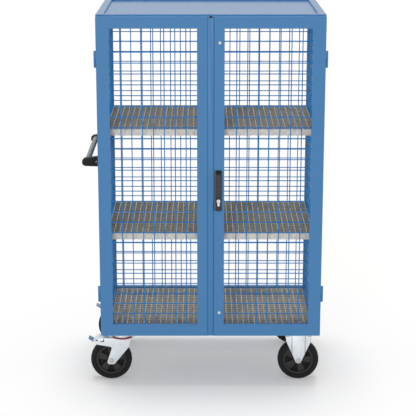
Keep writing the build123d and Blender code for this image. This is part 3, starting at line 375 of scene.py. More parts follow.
FINISH_VALUES = (
    "Metallic", "Coat Weight", "Specular IOR Level", "Patch Scale", "Grain Scale",
    "Contrast", "Smooth", "Rough", "Strength", "Distance",
)
FINISHES = {
    # finish: surface group, colour, then its values in the order above
    "blue_coat": ("powder_grain", "blue", 0, 0.05, 0.4, 3, 520, 0.10, 0.34, 0.50, 0.35, 0.00012),
    # The roof's finish is a darker copy of the blue coat: painted shade on upward faces
    "roof_painted_shade": ("powder_grain", "roof", 0, 0.1, 0.65, 3, 520, 0.10, 0.28, 0.40, 0.2, 0.0001),
    # The wire finishes are lighter copies of the blue coat: painted light against the wires' own shade, the
    # wall wires' more so inside the cabinet
    "door_wire_painted_light": ("powder_grain", "wire", 0, 0, 0.15, 3, 520, 0.12, 0.40, 0.55, 0.2, 0.0001),
    "wall_wire_painted_light": ("powder_grain", "wall_wire", 0, 0, 0.15, 3, 520, 0.12, 0.40, 0.55, 0.2, 0.0001),
    "bright_zinc": ("zinc_spangle", "zinc", 0.30, 0, 0.5, 60, 900, 0.07, 0.32, 0.48, 0.10, 0.0001),
    # The bolts' duller zinc, also used on the fixed forks' folds as painted shade
    "bolt_zinc_and_fold_shade": ("zinc_spangle", "bolt", 0.55, 0, 0.5, 90, 900, 0.15, 0.30, 0.45, 0.10, 0.0001),
    "screw_zinc": ("zinc_spangle", "screw", 0.25, 0, 0.5, 200, 900, 0.08, 0.28, 0.40, 0.05, 0.0001),
    "pedal_steel": ("brushed_streaks", "pedal", 0.35, 0, 0.5, 40, 700, 0.20, 0.30, 0.45, 0.10, 0.0001),
    "galvanised_bands": ("zinc_spangle", "grating", 0.15, 0, 0.5, 160, 800, 0.30, 0.40, 0.62, 0.25, 0.0001),
    # The bar finishes are darker copies of the galvanised colour (painted shade); the rod finish is a lighter
    # one (painted highlight)
    "painted_shade_grating_bars": ("zinc_spangle", "bars", 0.15, 0, 0.5, 140, 800, 0.35, 0.45, 0.65, 0.25, 0.0001),
    "painted_shade_deck_bars": ("zinc_spangle", "deck", 0.15, 0, 0.5, 140, 800, 0.35, 0.45, 0.65, 0.25, 0.0001),
    "grating_rods_painted_highlight": ("zinc_spangle", "rods", 0.15, 0, 0.5, 140, 800, 0.20, 0.40, 0.60, 0.2, 0.0001),
    "brushed_tube": ("brushed_streaks", "tube", 0.6, 0, 0.5, 20, 600, 0.35, 0.32, 0.46, 0.15, 0.00005),
    "black_moulding": ("powder_grain", "plastic", 0, 0, 0.2, 15, 1400, 0.30, 0.42, 0.58, 0.5, 0.0001),
    "lock_coat": ("powder_grain", "lock", 0, 0, 0.30, 20, 1500, 0.20, 0.38, 0.52, 0.45, 0.00008),
    "lever_coat": ("powder_grain", "lever", 0, 0, 0.25, 20, 1500, 0.20, 0.38, 0.52, 0.45, 0.00008),
    "satin_nickel": ("brushed_streaks", "nickel", 0.4, 0, 0.5, 30, 900, 0.10, 0.22, 0.34, 0.05, 0.00003),
    "tyre_tread": ("powder_grain", "tyre", 0, 0, 0.2, 12, 900, 0.35, 0.55, 0.75, 0.4, 0.00015),
    "rim_moulding": ("powder_grain", "rim", 0, 0, 0.2, 14, 1100, 0.20, 0.42, 0.58, 0.35, 0.0001),
    # The pocket finish is painted shade: the rim's plastic made darker
    "rim_pocket_shade": ("powder_grain", "pocket", 0, 0, 0.1, 30, 700, 0.50, 0.55, 0.75, 0.3, 0.0001),
    "red_moulding": ("powder_grain", "seal", 0, 0, 0.3, 20, 900, 0.15, 0.35, 0.50, 0.2, 0.0001),
}


def make_finish(name, group, tint, values):
    """A finish on Object coordinates from one of the surface groups. Returns its tree, colour and shader."""
    tree = empty_tree(bpy.data.materials.new(name))
    place = add_node(tree, "ShaderNodeTexCoord")
    surface = add_node(tree, "ShaderNodeGroup", node_tree=group)
    surface.inputs["Colour"].default_value = (*tint, 1)
    relief = add_node(tree, "ShaderNodeBump")
    shader = add_node(tree, "ShaderNodeBsdfPrincipled", Coat_Roughness=0.12)
    output = add_node(tree, "ShaderNodeOutputMaterial")
    for label, value in zip(FINISH_VALUES, values):
        for node in (surface, relief, shader):
            if label in node.inputs:
                node.inputs[label].default_value = value
    join(
        tree,
        (place, "Object", surface, "Place"),
        (surface, "Colour", shader, "Base Color"),
        (surface, "Roughness", shader, "Roughness"),
        (surface, "Height", relief, "Height"),
        (relief, "Normal", shader, "Normal"),
        (shader, 0, output, "Surface"),
    )
    return tree, surface, shader


def paint_shade_downwards(tree, surface, shader):
    """Paints light and shade down a grating's bars: a painted highlight on their top edges, fading to painted
    shade down in the cells.
    """
    depth = add_node(tree, "ShaderNodeAttribute", attribute_name="depth")
    fade = add_node(tree, "ShaderNodeMapRange", From_Max=0.45, To_Min=1.6, To_Max=0.25)
    tint = add_node(tree, "ShaderNodeVectorMath", operation="SCALE")
    join(
        tree,
        (depth, "Fac", fade, "Value"),
        (surface, "Colour", tint, 0),
        (fade, "Result", tint, "Scale"),
        (tint, 0, shader, "Base Color"),
    )


class TROLLEY_OT_finishes(bpy.types.Operator):
    """Makes the finishes of all the pieces"""

    bl_idname = "trolley.finishes"
    bl_label = "Finishes"

    def execute(self, context):
        groups = {name: surface_group(name, *values) for name, values in SURFACES.items()}
        for name, (group, hue, *values) in FINISHES.items():
            made = make_finish(name, groups[group], getattr(context.scene.trolley_colours, hue), values)
            # The bars get painted light at the top and painted shade lower down, by their depth
            if name.endswith("_bars"):
                paint_shade_downwards(*made)
        return {"FINISHED"}


# Frame


class TROLLEY_OT_cabinet_frame(bpy.types.Operator):
    """Makes the rounded posts, rails and caster rails, and paints the roof and ledges"""

    bl_idname = "trolley.cabinet_frame"
    bl_label = "Cabinet frame"

    def execute(self, context):
        rounding = context.scene.trolley_sizes.tube_round
        low, high = POSTS_LOW, POSTS_HIGH
        tube, wall, hollow, steps = 0.035, 0.002, UP * 0.3, 3
        bm = bmesh.new()
        for x, y in product((low.x, high.x - tube), (low.y, high.y - tube)):
            verts = add_block(bm, (x, y, low.z), (x + tube, y + tube, high.z))
            foot = min({f for v in verts for f in v.link_faces}, key=lambda f: f.calc_center_median().z)
            bmesh.ops.inset_individual(bm, faces=[foot], thickness=wall)
            bmesh.ops.translate(bm, vec=hollow, verts=foot.verts)
            upright = [e for e in edges_of(verts) if abs((e.verts[0].co - e.verts[1].co).z) > 1]
            round_edges(bm, upright, rounding, steps)
        self.add_frame_piece(bm, "corner_posts")

        for node in ("top_rails", "base_rails"):
            rail_low, rail_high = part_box(node)
            bm = bmesh.new()
            for y in (low.y, high.y - tube):
                start, end = (low.x + tube, y, rail_low.z), (high.x - tube, y + tube, rail_high.z)
                self.add_rail(bm, start, end, 0, rounding, steps)
            for x in (low.x, high.x - tube):
                start, end = (x, low.y + tube, rail_low.z), (x + tube, high.y - tube, rail_high.z)
                self.add_rail(bm, start, end, 1, rounding, steps)
            self.add_frame_piece(bm, node)

        bm = bmesh.new()
        rail_low, rail_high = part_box("caster_rails")
        half_width, edge = 0.060, 0.0012
        for depth in ROWS.values():
            near, far = DOOR_Y + depth - half_width, DOOR_Y + depth + half_width
            start, end = (rail_low.x, near, rail_low.z), (rail_high.x, far, rail_high.z)
            add_rounded_block(bm, start, end, edge)
        add_piece(bm, "caster_rail_bars", "cabinet", "blue_coat", ["caster_rails"])
        # The roof panel takes the darker copy of the blue coat as painted shade
        paint("roof_painted_shade", "roof_panel")
        paint("blue_coat", "shelf_ledges")
        return {"FINISHED"}

    def add_frame_piece(self, bm, node):
        """The tubes of one CAD node, with the roof's darker copy of the blue coat on the top ones' upper
        faces: painted shade against the light from above.
        """
        upwards, top_rails_foot = 0.9, 1.7
        bm.normal_update()
        for face in bm.faces:
            level = face.calc_center_median().z
            face.material_index = int(face.normal.z > upwards and level > top_rails_foot)
        add_piece(bm, node + "_tubes", "cabinet", "blue_coat", [node], second="roof_painted_shade")

    def add_rail(self, bm, start, end, axis, rounding, steps):
        """A square tube along an axis, with its long edges rounded."""
        half = (end[axis] - start[axis]) / 2
        edges = edges_of(add_block(bm, start, end))
        long_edges = [e for e in edges if abs(e.verts[0].co[axis] - e.verts[1].co[axis]) > half]
        round_edges(bm, long_edges, rounding, steps)


# Wire meshes


def wire_places(low, high, first, pitch):
    """Places of the wires between two ends, a pitch apart."""
    end_gap = 0.010
    return [low + first + pitch * n for n in range(int((high - low - first - end_gap) / pitch + 1e-6) + 1)]


class TROLLEY_OT_wire_meshes(bpy.types.Operator):
    """Makes the welded meshes of the walls and doors from round wires"""

    bl_idname = "trolley.wire_meshes"
    bl_label = "Wire meshes"

    def execute(self, context):
        # node: body, flat axis, uprights' offset, levels' offset, whether the uprights lie on the low side
        meshes = {
            "rear_mesh": ("cabinet", 1, 0.0385, 0.037, True),
            "side_mesh_left": ("cabinet", 0, 0.040, 0.037, False),
            "side_mesh_right": ("cabinet", 0, 0.040, 0.037, False),
            "door_mesh_left": ("door_left", 1, 0.0503, 0.051, True),
            "door_mesh_right": ("door_right", 1, 0.0551, 0.051, True),
        }
        for node, values in meshes.items():
            self.make_mesh(context.scene.trolley_sizes, node, *values)
        return {"FINISHED"}

    def make_mesh(self, sizes, node, body, flat, first_upright, first_level, uprights_low):
        low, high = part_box(node)
        across = 1 - flat
        radius = sizes.wire_radius
        middle = (low[flat] + high[flat]) / 2
        reach = radius - sizes.weld_sink / 2
        near, far = middle - reach, middle + reach
        upright_depth, level_depth = (near, far) if uprights_low else (far, near)
        uprights = wire_places(low[across], high[across], first_upright, sizes.wire_pitch)
        levels = wire_places(low.z, high.z, first_level, sizes.wire_pitch)
        wire_sides = 8
        bm = bmesh.new()
        for place in uprights:
            ends = [self.point(flat, place, upright_depth, z) for z in (low.z, high.z)]
            add_rod(bm, *ends, radius, wire_sides)
        for z in levels:
            ends = [self.point(flat, place, level_depth, z) for place in (low[across], high[across])]
            add_rod(bm, *ends, radius, wire_sides)
        for place in uprights:
            for z in levels:
                self.add_weld(bm, self.point(flat, place, middle, z), flat, radius)
        # The wall wires take the lighter of the two painted-light copies of the blue coat
        finish = "wall_wire_painted_light" if body == "cabinet" else "door_wire_painted_light"
        add_piece(bm, node + "_wires", body, finish, [node], smooth_angle=60)

    def point(self, flat, along, depth, z):
        """A place in a mesh that is flat in Y (1) or in X (0)."""
        return Vector((along, depth, z)) if flat == 1 else Vector((depth, along, z))

    def add_weld(self, bm, centre, flat, radius):
        """A small bead of melted wire where two wires cross."""
        bulge, press = 1.25, 0.8
        size = [radius * bulge] * 3
        size[flat] = radius * press
        shape = Matrix.Translation(centre) @ Matrix.Diagonal((*size, 1))
        bmesh.ops.create_uvsphere(bm, u_segments=6, v_segments=4, radius=1, matrix=shape)


# Gratings


class TROLLEY_OT_gratings(bpy.types.Operator):
    """Makes the deck and both shelves with all their bars"""

    bl_idname = "trolley.gratings"
    bl_label = "Gratings"

    def execute(self, context):
        sizes = context.scene.trolley_sizes
        for node in ("deck_grating", "shelf_lower", "shelf_upper"):
            self.make_grating(sizes, node)
        return {"FINISHED"}

    def make_grating(self, sizes, node):
        low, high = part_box(node)
        band, bar, rod = sizes.band_thick, sizes.bar_thick, sizes.cross_wide
        bar_pitch, solid_rod_pitch, rods_per_solid_rod, rod_sunk = 0.030, 0.112, 4, 0.0001
        bm = bmesh.new()
        for y in (low.y, high.y - band):
            add_rounded_block(bm, (low.x, y, low.z), (high.x, y + band, high.z), 0.0006, 1)
        for x in (low.x, high.x - band):
            add_block(bm, (x, low.y + band, low.z), (x + band, high.y - band, high.z))
        add_piece(bm, node + "_bands", "cabinet", "galvanised_bands", [node])

        bm = bmesh.new()
        # Depth below the top, along which the bars' painted light and shade fades
        depth = bm.verts.layers.float.new("depth")
        for y in self.bar_places(low.y + band, high.y - band, bar, bar_pitch):
            add_block(bm, (low.x + band, y, low.z), (high.x - band, y + bar, high.z))
        for v in bm.verts:
            v[depth] = (high.z - v.co.z) / (high.z - low.z)
        # Darker bar finishes: painted shade, the shelves' darker than the deck's
        finish = "painted_shade_deck_bars" if node == "deck_grating" else "painted_shade_grating_bars"
        add_piece(bm, node + "_bars", "cabinet", finish)

        bm = bmesh.new()
        # The cross rods take the lighter finish: painted highlight on their tops
        for x in self.bar_places(low.x + band, high.x - band, rod, solid_rod_pitch, rods_per_solid_rod):
            start = x, low.y + band, high.z - sizes.cross_deep
            add_block(bm, start, (x + rod, high.y - band, high.z - rod_sunk))
        add_piece(bm, node + "_rods", "cabinet", "grating_rods_painted_highlight")

    def bar_places(self, low, high, bar, pitch, parts=1):
        """Low sides of evenly spaced bars between two bands, with a number of parts per pitch."""
        count = round((high - low) / pitch) * parts
        step = (high - low + bar) / count
        return [low + step * n - bar for n in range(1, count)]


# Doors, hinges and lock


class TROLLEY_OT_doors(bpy.types.Operator):
    """Paints the folded door frames and makes the strip on the closing edge"""

    bl_idname = "trolley.doors"
    bl_label = "Doors"

    def execute(self, context):
        paint("blue_coat", "door_frame_left", "door_frame_right")
        low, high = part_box("centre_strip")
        groove_wide, groove_deep, rounding = 0.0013, 0.0025, 0.0004
        notch_half, notch_low = 0.007, high.z - 0.007
        lock_side, lock_low, lock_high = 0.0118, 0.8731, 1.0679
        depth, back = low.y - DOOR_Y, high.y - DOOR_Y
        floor = depth + groove_deep
        bm = bmesh.new()
        for inset, start, end in ((groove_wide, depth, floor), (0, floor, back)):
            left, right = low.x - CENTRE_X + inset, high.x - CENTRE_X - inset
            outline = [
                (left, low.z), (right, low.z), (right, lock_low), (lock_side, lock_low),
                (lock_side, lock_high), (right, lock_high), (right, high.z), (notch_half, high.z),
                (notch_half, notch_low), (-notch_half, notch_low), (-notch_half, high.z), (left, high.z),
            ]
            add_upright_plate(bm, 0, outline, start, end - start, rounding)
        add_piece(bm, "closing_strip", "door_left", "blue_coat", ["centre_strip"])

        # Black seal lip along the strip's edge; its black also stands in for the shade in the gap beside the
        # right door, so it is partly painted shade
        bm = bmesh.new()
        right = high.x - CENTRE_X
        lip_root, lip_tip, lip_front, lip_back, end_gap = 0.0002, 0.00055, floor + 0.001, 0.018, 0.002
        for start, end in ((low.z + end_gap, lock_low), (lock_high, high.z - end_gap)):
            root = spot(right - lip_root, lip_front, start)
            add_rounded_block(bm, root, spot(right + lip_tip, lip_back, end), 0.0001, 1)
        add_piece(bm, "strip_seal_lip_and_gap_shade", "door_left", "black_moulding")

        # Black end plug in the top notch; its black also stands in for the shade inside the notch, so it is
        # partly painted shade
        bm = bmesh.new()
        side_gap, front_gap, top_gap = 0.0003, 0.0008, 0.0006
        start = spot(side_gap - notch_half, depth + front_gap, notch_low)
        add_rounded_block(bm, start, spot(notch_half - side_gap, back, high.z - top_gap), 0.0005)
        add_piece(bm, "strip_end_plug_and_shade", "door_left", "black_moulding")
        return {"FINISHED"}


class TROLLEY_OT_hinges(bpy.types.Operator):
    """Makes the lift-off hinges, their lower halves on the frame and their upper halves on the doors"""

    bl_idname = "trolley.hinges"
    bl_label = "Hinges"

    def execute(self, context):
        radius, axis_x, axis_y = 0.00575, 0.5288, 0.0155
        half, gap, chamfer, leaf = 0.0383, 0.0004, 0.0007, 0.003
        barrel = [
            (0, 0), (radius - chamfer, 0), (radius, chamfer),
            (radius, half - chamfer), (radius - chamfer, half), (0, half),
        ]
        heights = 0.463, 1.583
        knuckles = {side: bmesh.new() for side in SIDES}
        pins = bmesh.new()
        for side, sign in SIDES.items():
            for middle in heights:
                foot, head = middle - half - gap / 2, middle + gap / 2
                add_lathe(pins, barrel, spot(sign * axis_x, axis_y, foot), UP, 32)
                add_lathe(knuckles[side], barrel, spot(sign * axis_x, axis_y, head), UP, 32)
                below, above = (foot, foot + half), (head, head + half)
                self.add_leaf(pins, sign, (0.5235, axis_x - leaf), (0.021, 0.050), below, 0.0008)
                self.add_leaf(pins, sign, (0.52355, axis_x), (axis_y, 0.022), below, 0.0002)
                self.add_leaf(knuckles[side], sign, (0.523, axis_x - 0.001), (0.0025, axis_y), above, 0.0009)
        add_piece(pins, "hinge_lower_halves", "cabinet", "blue_coat", ["hinge_pins"])
        for side, bm in knuckles.items():
            add_piece(bm, f"hinge_upper_halves_{side}", f"door_{side}", "blue_coat",
                      [f"hinge_knuckles_{side}"])
        return {"FINISHED"}

    def add_leaf(self, bm, sign, x, y, z, width):
        """A rounded leaf between two places each way, on the left or right side."""
        across = sorted((sign * x[0], sign * x[1]))
        add_rounded_block(bm, spot(across[0], y[0], z[0]), spot(across[1], y[1], z[1]), width)


def add_button_head(bm, centre, axis, radius, thick, socket=0.45):
    """A domed screw head with a hexagonal socket, standing along the axis."""
    drive = radius * socket
    profile = [
        (0, thick * 0.35), (drive, thick * 0.35), (drive, thick * 0.97), (radius * 0.62, thick * 0.94),
        (radius * 0.85, thick * 0.7), (radius * 0.97, thick * 0.35), (radius, 0), (0, 0),
    ]
    verts = add_lathe(bm, profile, centre, axis, 24)
    axis = axis.normalized()
    flat = axis.orthogonal().normalized()
    side = axis.cross(flat)
    for v in verts:
        offset = v.co - centre
        along = offset.dot(axis)
        x, y = offset.dot(flat), offset.dot(side)
        if abs(hypot(x, y) - drive) < 1e-5:
            turn = atan2(y, x)
            sector = (turn + pi / 6) % (pi / 3) - pi / 6
            reach = drive * cos(pi / 6) / cos(sector)
            v.co = centre + axis * along + (flat * cos(turn) + side * sin(turn)) * reach


def add_screw(bm, seat, axis, head, thick, reach, shank):
    """A button-head screw with its head along the axis and its shank the other way."""
    add_button_head(bm, seat, axis, head, thick)
    add_rod(bm, seat, seat - axis * reach, shank, 16)


class TROLLEY_OT_lock(bpy.types.Operator):
    """Makes the lock's screws and gives the lock's pieces their finishes"""

    bl_idname = "trolley.lock"
    bl_label = "Lock"

    def execute(self, context):
        paint("lock_coat", "lock_housing", "lock_faceplate", "lock_spindle")
        paint("lever_coat", "swing_handle")
        paint("satin_nickel", "key_cylinder", "key_plug")
        paint("bright_zinc", "lock_case", "rod_pinion", "rod_upper", "rod_lower", "rod_keepers")
        paint("black_moulding", "rod_guides")
        self.make_screws()
        return {"FINISHED"}

    def make_screws(self):
        stile_x, housing_x, sheet = 0.041, 0.0365, 0.0015
        bm = bmesh.new()
        for z in (0.3735, 1.660):
            add_screw(bm, spot(stile_x, 0, z), -BACK, head=0.007, thick=0.0035, reach=0.012, shank=0.003)
        for z in (0.8815, 1.0595):
            seat = spot(housing_x, sheet, z)
            add_screw(bm, seat, BACK, head=0.0045, thick=0.003, reach=0.0055, shank=0.0025)
        add_piece(bm, "door_screw_set", "door_right", "screw_zinc", ["door_screws"])

        # A thin dark plate a hair proud of the housing, in the pocket finish: painted shade of the finger
        # recess
        bm = bmesh.new()
        add_rounded_block(bm, spot(0.0245, -0.0063, 1.0555), spot(0.0485, -0.0055, 1.0662), 0.0003)
        add_piece(bm, "lock_recess_painted_shade", "door_right", "rim_pocket_shade")


# Push handle


class TROLLEY_OT_push_handle(bpy.types.Operator):
    """Makes the push handle: its tube, two brackets, wall rail and screws"""

    bl_idname = "trolley.push_handle"
    bl_label = "Push handle"

    def execute(self, context):
        wall, tube_x, z = -0.5235, -0.579, 1.090
        brackets, width = (0.085, 0.629), 0.030
        tip_radius, tip_z = 0.019, z - 0.0025
        tip_x = -0.604 + tip_radius
        outline = [
            (wall, z - 0.0235), (wall, z + 0.0235), (wall - 0.012, z + 0.0230),
            *arc(tip_x, tip_z, tip_radius, 90, 270, 14), (wall - 0.012, z - 0.0232),
        ]
        collar = [(0.0136, -0.001), (0.0176, -0.001), (0.0172, 0.0022), (0.0160, 0.0030), (0.0136, 0.0030)]
        bm = bmesh.new()
        for y in brackets:
            add_upright_plate(bm, 0, outline, y, width, 0.0028, 3, 40)
        for y, inward in ((brackets[0] + width, BACK), (brackets[1], -BACK)):
            add_lathe(bm, collar, spot(tube_x, y, z), inward, 40, closed=True)
        add_piece(bm, "handle_bracket_pair", "cabinet", "black_moulding",
                  ["handle_brackets"])

        bm = bmesh.new()
        start, end = (corner.y - DOOR_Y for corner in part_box("handle_bar"))
        bore, outside = 0.0115, 0.0135
        profile = [(bore, start), (outside, start), (outside, end), (bore, end)]
        add_lathe(bm, profile, spot(tube_x, 0, z), BACK, 48, closed=True)
        add_piece(bm, "handle_tube", "cabinet", "brushed_tube", ["handle_bar"])

        bm = bmesh.new()
        add_rounded_block(bm, *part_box("handle_rail"), 0.001)
        add_piece(bm, "handle_wall_rail", "cabinet", "blue_coat", ["handle_rail"])

        bm = bmesh.new()
        rail_thick, screw_apart, clamp_x = 0.006, 0.013, wall - 0.0125
        for y, height in product(brackets, (z - screw_apart, z + screw_apart)):
            seat = spot(wall + rail_thick, y + width / 2, height)
            add_screw(bm, seat, RIGHT, head=0.0065, thick=0.005, reach=0.024, shank=0.004)
        for y, outward in ((brackets[0], -BACK), (brackets[1] + width, BACK)):
            before = set(bm.faces)
            add_button_head(bm, spot(clamp_x, y, z), outward, radius=0.005, thick=0.0015, socket=0.4)
            for face in set(bm.faces) - before:
                face.material_index = 1
        add_piece(bm, "handle_screw_set", "cabinet", "bolt_zinc_and_fold_shade", ["handle_screws"],
                  second="brushed_tube")
        return {"FINISHED"}


# Casters


def add_bolt_head(bm, seat, axis, radius, top_radius, steps, flats, thick):
    """A washer and on it a hexagonal head with its outer rim rounded, standing along the axis."""
    low, high = 0.0012, 0.0018
    washer = [(0, 0), (radius, 0), (radius, low), (top_radius, high), (0, high)]
    add_lathe(bm, washer, seat, axis, steps)
    corner = flats / 2 / cos(pi / 6)
    start = seat + axis * high
    end = start + axis * thick
    verts = add_rod(bm, start, end, corner, 6)
    outer = [v for v in verts if (v.co - end).dot(axis) > -1e-6]
    rim = [e for e in edges_of(outer) if e.verts[0] in outer and e.verts[1] in outer]
    round_edges(bm, rim, 0.001)


class TROLLEY_OT_wheels(bpy.types.Operator):
    """Makes the four wheels, each with a grooved tyre and a five-spoke rim"""

    bl_idname = "trolley.wheels"
    bl_label = "Wheels"

    def execute(self, context):
        outer = context.scene.trolley_sizes.wheel_radius
        for row, depth in ROWS.items():
            for side, x, angle in (("left", SWIVEL_X, 17), ("right", FIXED_X, -1)):
                body = f"wheel_{row}_{side}"
                centre = spot(x, depth, outer)
                self.make_tyre(centre, outer, body, row, side)
                self.make_rim(centre, angle, body, row, side)
        return {"FINISHED"}

    def make_tyre(self, centre, outer, body, row, side):
        half = [
            (0.0740, 0.0225), (0.0755, 0.0240), (0.0785, 0.0246), (0.0792, 0.0238), (0.0800, 0.0238),
            (0.0807, 0.0249), (0.0860, 0.0250), (0.0905, 0.0247), (0.0912, 0.0239), (0.0920, 0.0239),
            (0.0927, 0.0243), (0.0955, 0.0225), (outer - 0.0022, 0.0185), (outer - 0.0007, 0.0130),
            (outer, 0.0060),
        ]
        bm = bmesh.new()
        add_lathe(bm, both_faces(half), centre, BACK, 96, closed=True)
        add_piece(bm, f"{row}_{side}_tyre", body, "tyre_tread", [f"tyre_{row}_{side}"], 30)

    def make_rim(self, centre, angle, body, row, side):
        bore, hub, hub_half, web_half = 0.0062, 0.020, 0.030, 0.006
        half = [
            (bore, hub_half), (hub - 0.0035, hub_half), (hub - 0.001, hub_half - 0.0012),
            (hub, hub_half - 0.003), (hub + 0.001, web_half + 0.002), (hub + 0.004, web_half),
            (0.0590, web_half), (0.0620, web_half + 0.003), (0.0632, 0.0200), (0.0648, 0.0216),
            (0.0670, 0.0220), (0.0700, 0.0220), (0.0722, 0.0214), (0.0739, 0.0195),
        ]
        pocket_half, pocket_rim = 0.0195, 0.0638
        bm = bmesh.new()
        add_lathe(bm, both_faces(half), centre, BACK, 96, closed=True)
        # Faces of the web between the spokes take the darker pocket finish: painted shade
        for face in bm.faces:
            offset = face.calc_center_median() - centre
            if abs(offset.y) < pocket_half and hub < hypot(offset.x, offset.z) < pocket_rim:
                face.material_index = 1
        spokes = 5
        for n in range(spokes):
            self.add_spoke(bm, centre, radians(angle + 360 / spokes * n))
        add_piece(bm, f"{row}_{side}_rim", body, "rim_moulding", [f"rim_{row}_{side}"], 32,
                  "rim_pocket_shade")

    def add_spoke(self, bm, centre, turn):
        """A broad spoke that widens from the hub to the lip, as deep on both sides of the web."""
        root, lip, half_thick, spread = 0.014, 0.0640, 0.0155, radians(17)
        narrow, wide = 0.0105, lip * tan(spread)
        along = Vector((cos(turn), 0, sin(turn)))
        across = Vector((-sin(turn), 0, cos(turn)))
        corners = [(root, -narrow), (lip, -wide), (lip, wide), (root, narrow)]
        back = centre + BACK * half_thick
        outline = [back + along * far + across * side for far, side in corners]
        add_plate(bm, outline, -2 * half_thick * BACK, 0.0022, 3)


class TROLLEY_OT_caster_plates(bpy.types.Operator):
    """Makes the swivel plates with their races, the caster bolts and the axle bolts"""

    bl_idname = "trolley.caster_plates"
    bl_label = "Caster plates"

    def execute(self, context):
        race = [
            (0, 0.1990), (0.0110, 0.1990), (0.0138, 0.2005), (0.0150, 0.2030), (0.0150, 0.2075),
            (0.0140, 0.2084), (0.0070, 0.2084), (0.0070, 0.2146), (0.0385, 0.2146), (0.0410, 0.2156),
            (0.0420, 0.2180), (0.0420, 0.2262), (0.0405, 0.2290), (0.0365, 0.2305), (0.0345, 0.2330),
            (0.0345, 0.2350), (0, 0.2350),
        ]
        ring = [
            (0.0430, 0.2140), (0.0500, 0.2140), (0.0500, 0.2168), (0.0492, 0.2184), (0.0476, 0.2190),
            (0.0440, 0.2190), (0.0430, 0.2180),
        ]
        for row, depth in ROWS.items():
            centre = spot(PIN_X, depth, 0)
            bm = bmesh.new()
            add_top_plate(bm, PIN_X, depth)
            add_lathe(bm, race, centre, UP, 64)
            add_piece(bm, f"{row}_swivel_plate", "cabinet", "bright_zinc",
                      [f"swivel_plate_{row}"])
            bm = bmesh.new()
            add_lathe(bm, ring, centre, UP, 72, closed=True)
            add_piece(bm, f"{row}_dust_seal", f"swivel_{row}", "red_moulding",
                      [f"dust_seal_{row}"])
        self.make_bolts()
        self.make_axles(context.scene.trolley_sizes)
        return {"FINISHED"}

    def make_bolts(self):
        pattern = (PIN_X, FIXED_X), (-0.0525, 0.0525), (-0.044, 0.044)
        shank, shank_top = 0.0049, 0.2498
        bm = bmesh.new()
        for depth, middle, x, y in product(ROWS.values(), *pattern):
            seat = spot(middle + x, depth + y, PLATE_Z)
            add_bolt_head(bm, seat, -UP, 0.0102, 0.0096, 28, flats=0.016, thick=0.0046)
            add_rod(bm, seat, spot(middle + x, depth + y, shank_top), shank, 12)
        add_piece(bm, "caster_bolt_set", "cabinet", "bolt_zinc_and_fold_shade", ["caster_bolts"])

    def make_axles(self, sizes):
        fork_outer = sizes.fork_inner + sizes.fork_sheet
        fixed = bmesh.new()
        for row, depth in ROWS.items():
            self.add_axle(fixed, spot(FIXED_X, depth, AXLE_Z), fork_outer)
            bm = bmesh.new()
            self.add_axle(bm, spot(SWIVEL_X, depth, AXLE_Z), fork_outer)
            add_piece(bm, f"{row}_swivel_axle", f"swivel_{row}", "bolt_zinc_and_fold_shade",
                      [f"swivel_axle_{row}"])
        add_piece(fixed, "fixed_axle_pair", "cabinet", "bolt_zinc_and_fold_shade", ["fixed_axles"])

    def add_axle(self, bm, centre, fork_outer):
        """A shank across the fork with a washer, a hexagon and the shank's end on both sides."""
        shank = 0.006
        end = [(0, 0), (shank, 0), (shank, 0.0070), (shank - 0.0009, 0.0079), (0, 0.0079)]
        for axis in (-BACK, BACK):
            face = centre + axis * fork_outer
            add_bolt_head(bm, face, axis, 0.0125, 0.0118, 32, flats=0.018, thick=0.0058)
            add_lathe(bm, end, face, axis, 24)
        add_rod(bm, centre - BACK * fork_outer, centre + BACK * fork_outer, shank, 24)


def add_top_plate(bm, x, depth):
    """A caster's top plate with rounded corners."""
    half_x, half_y, corner, thick = 0.070, 0.057, 0.008, 0.006
    outline = []
    for to_x, to_y, start in ((1, 1, 0), (-1, 1, 90), (-1, -1, 180), (1, -1, 270)):
        middle_x, middle_y = x + to_x * (half_x - corner), depth + to_y * (half_y - corner)
        outline += [spot(*place, PLATE_Z) for place in arc(middle_x, middle_y, corner, start, start + 90, 5)]
    add_plate(bm, outline, UP * thick, 0.0009, 2, 60)


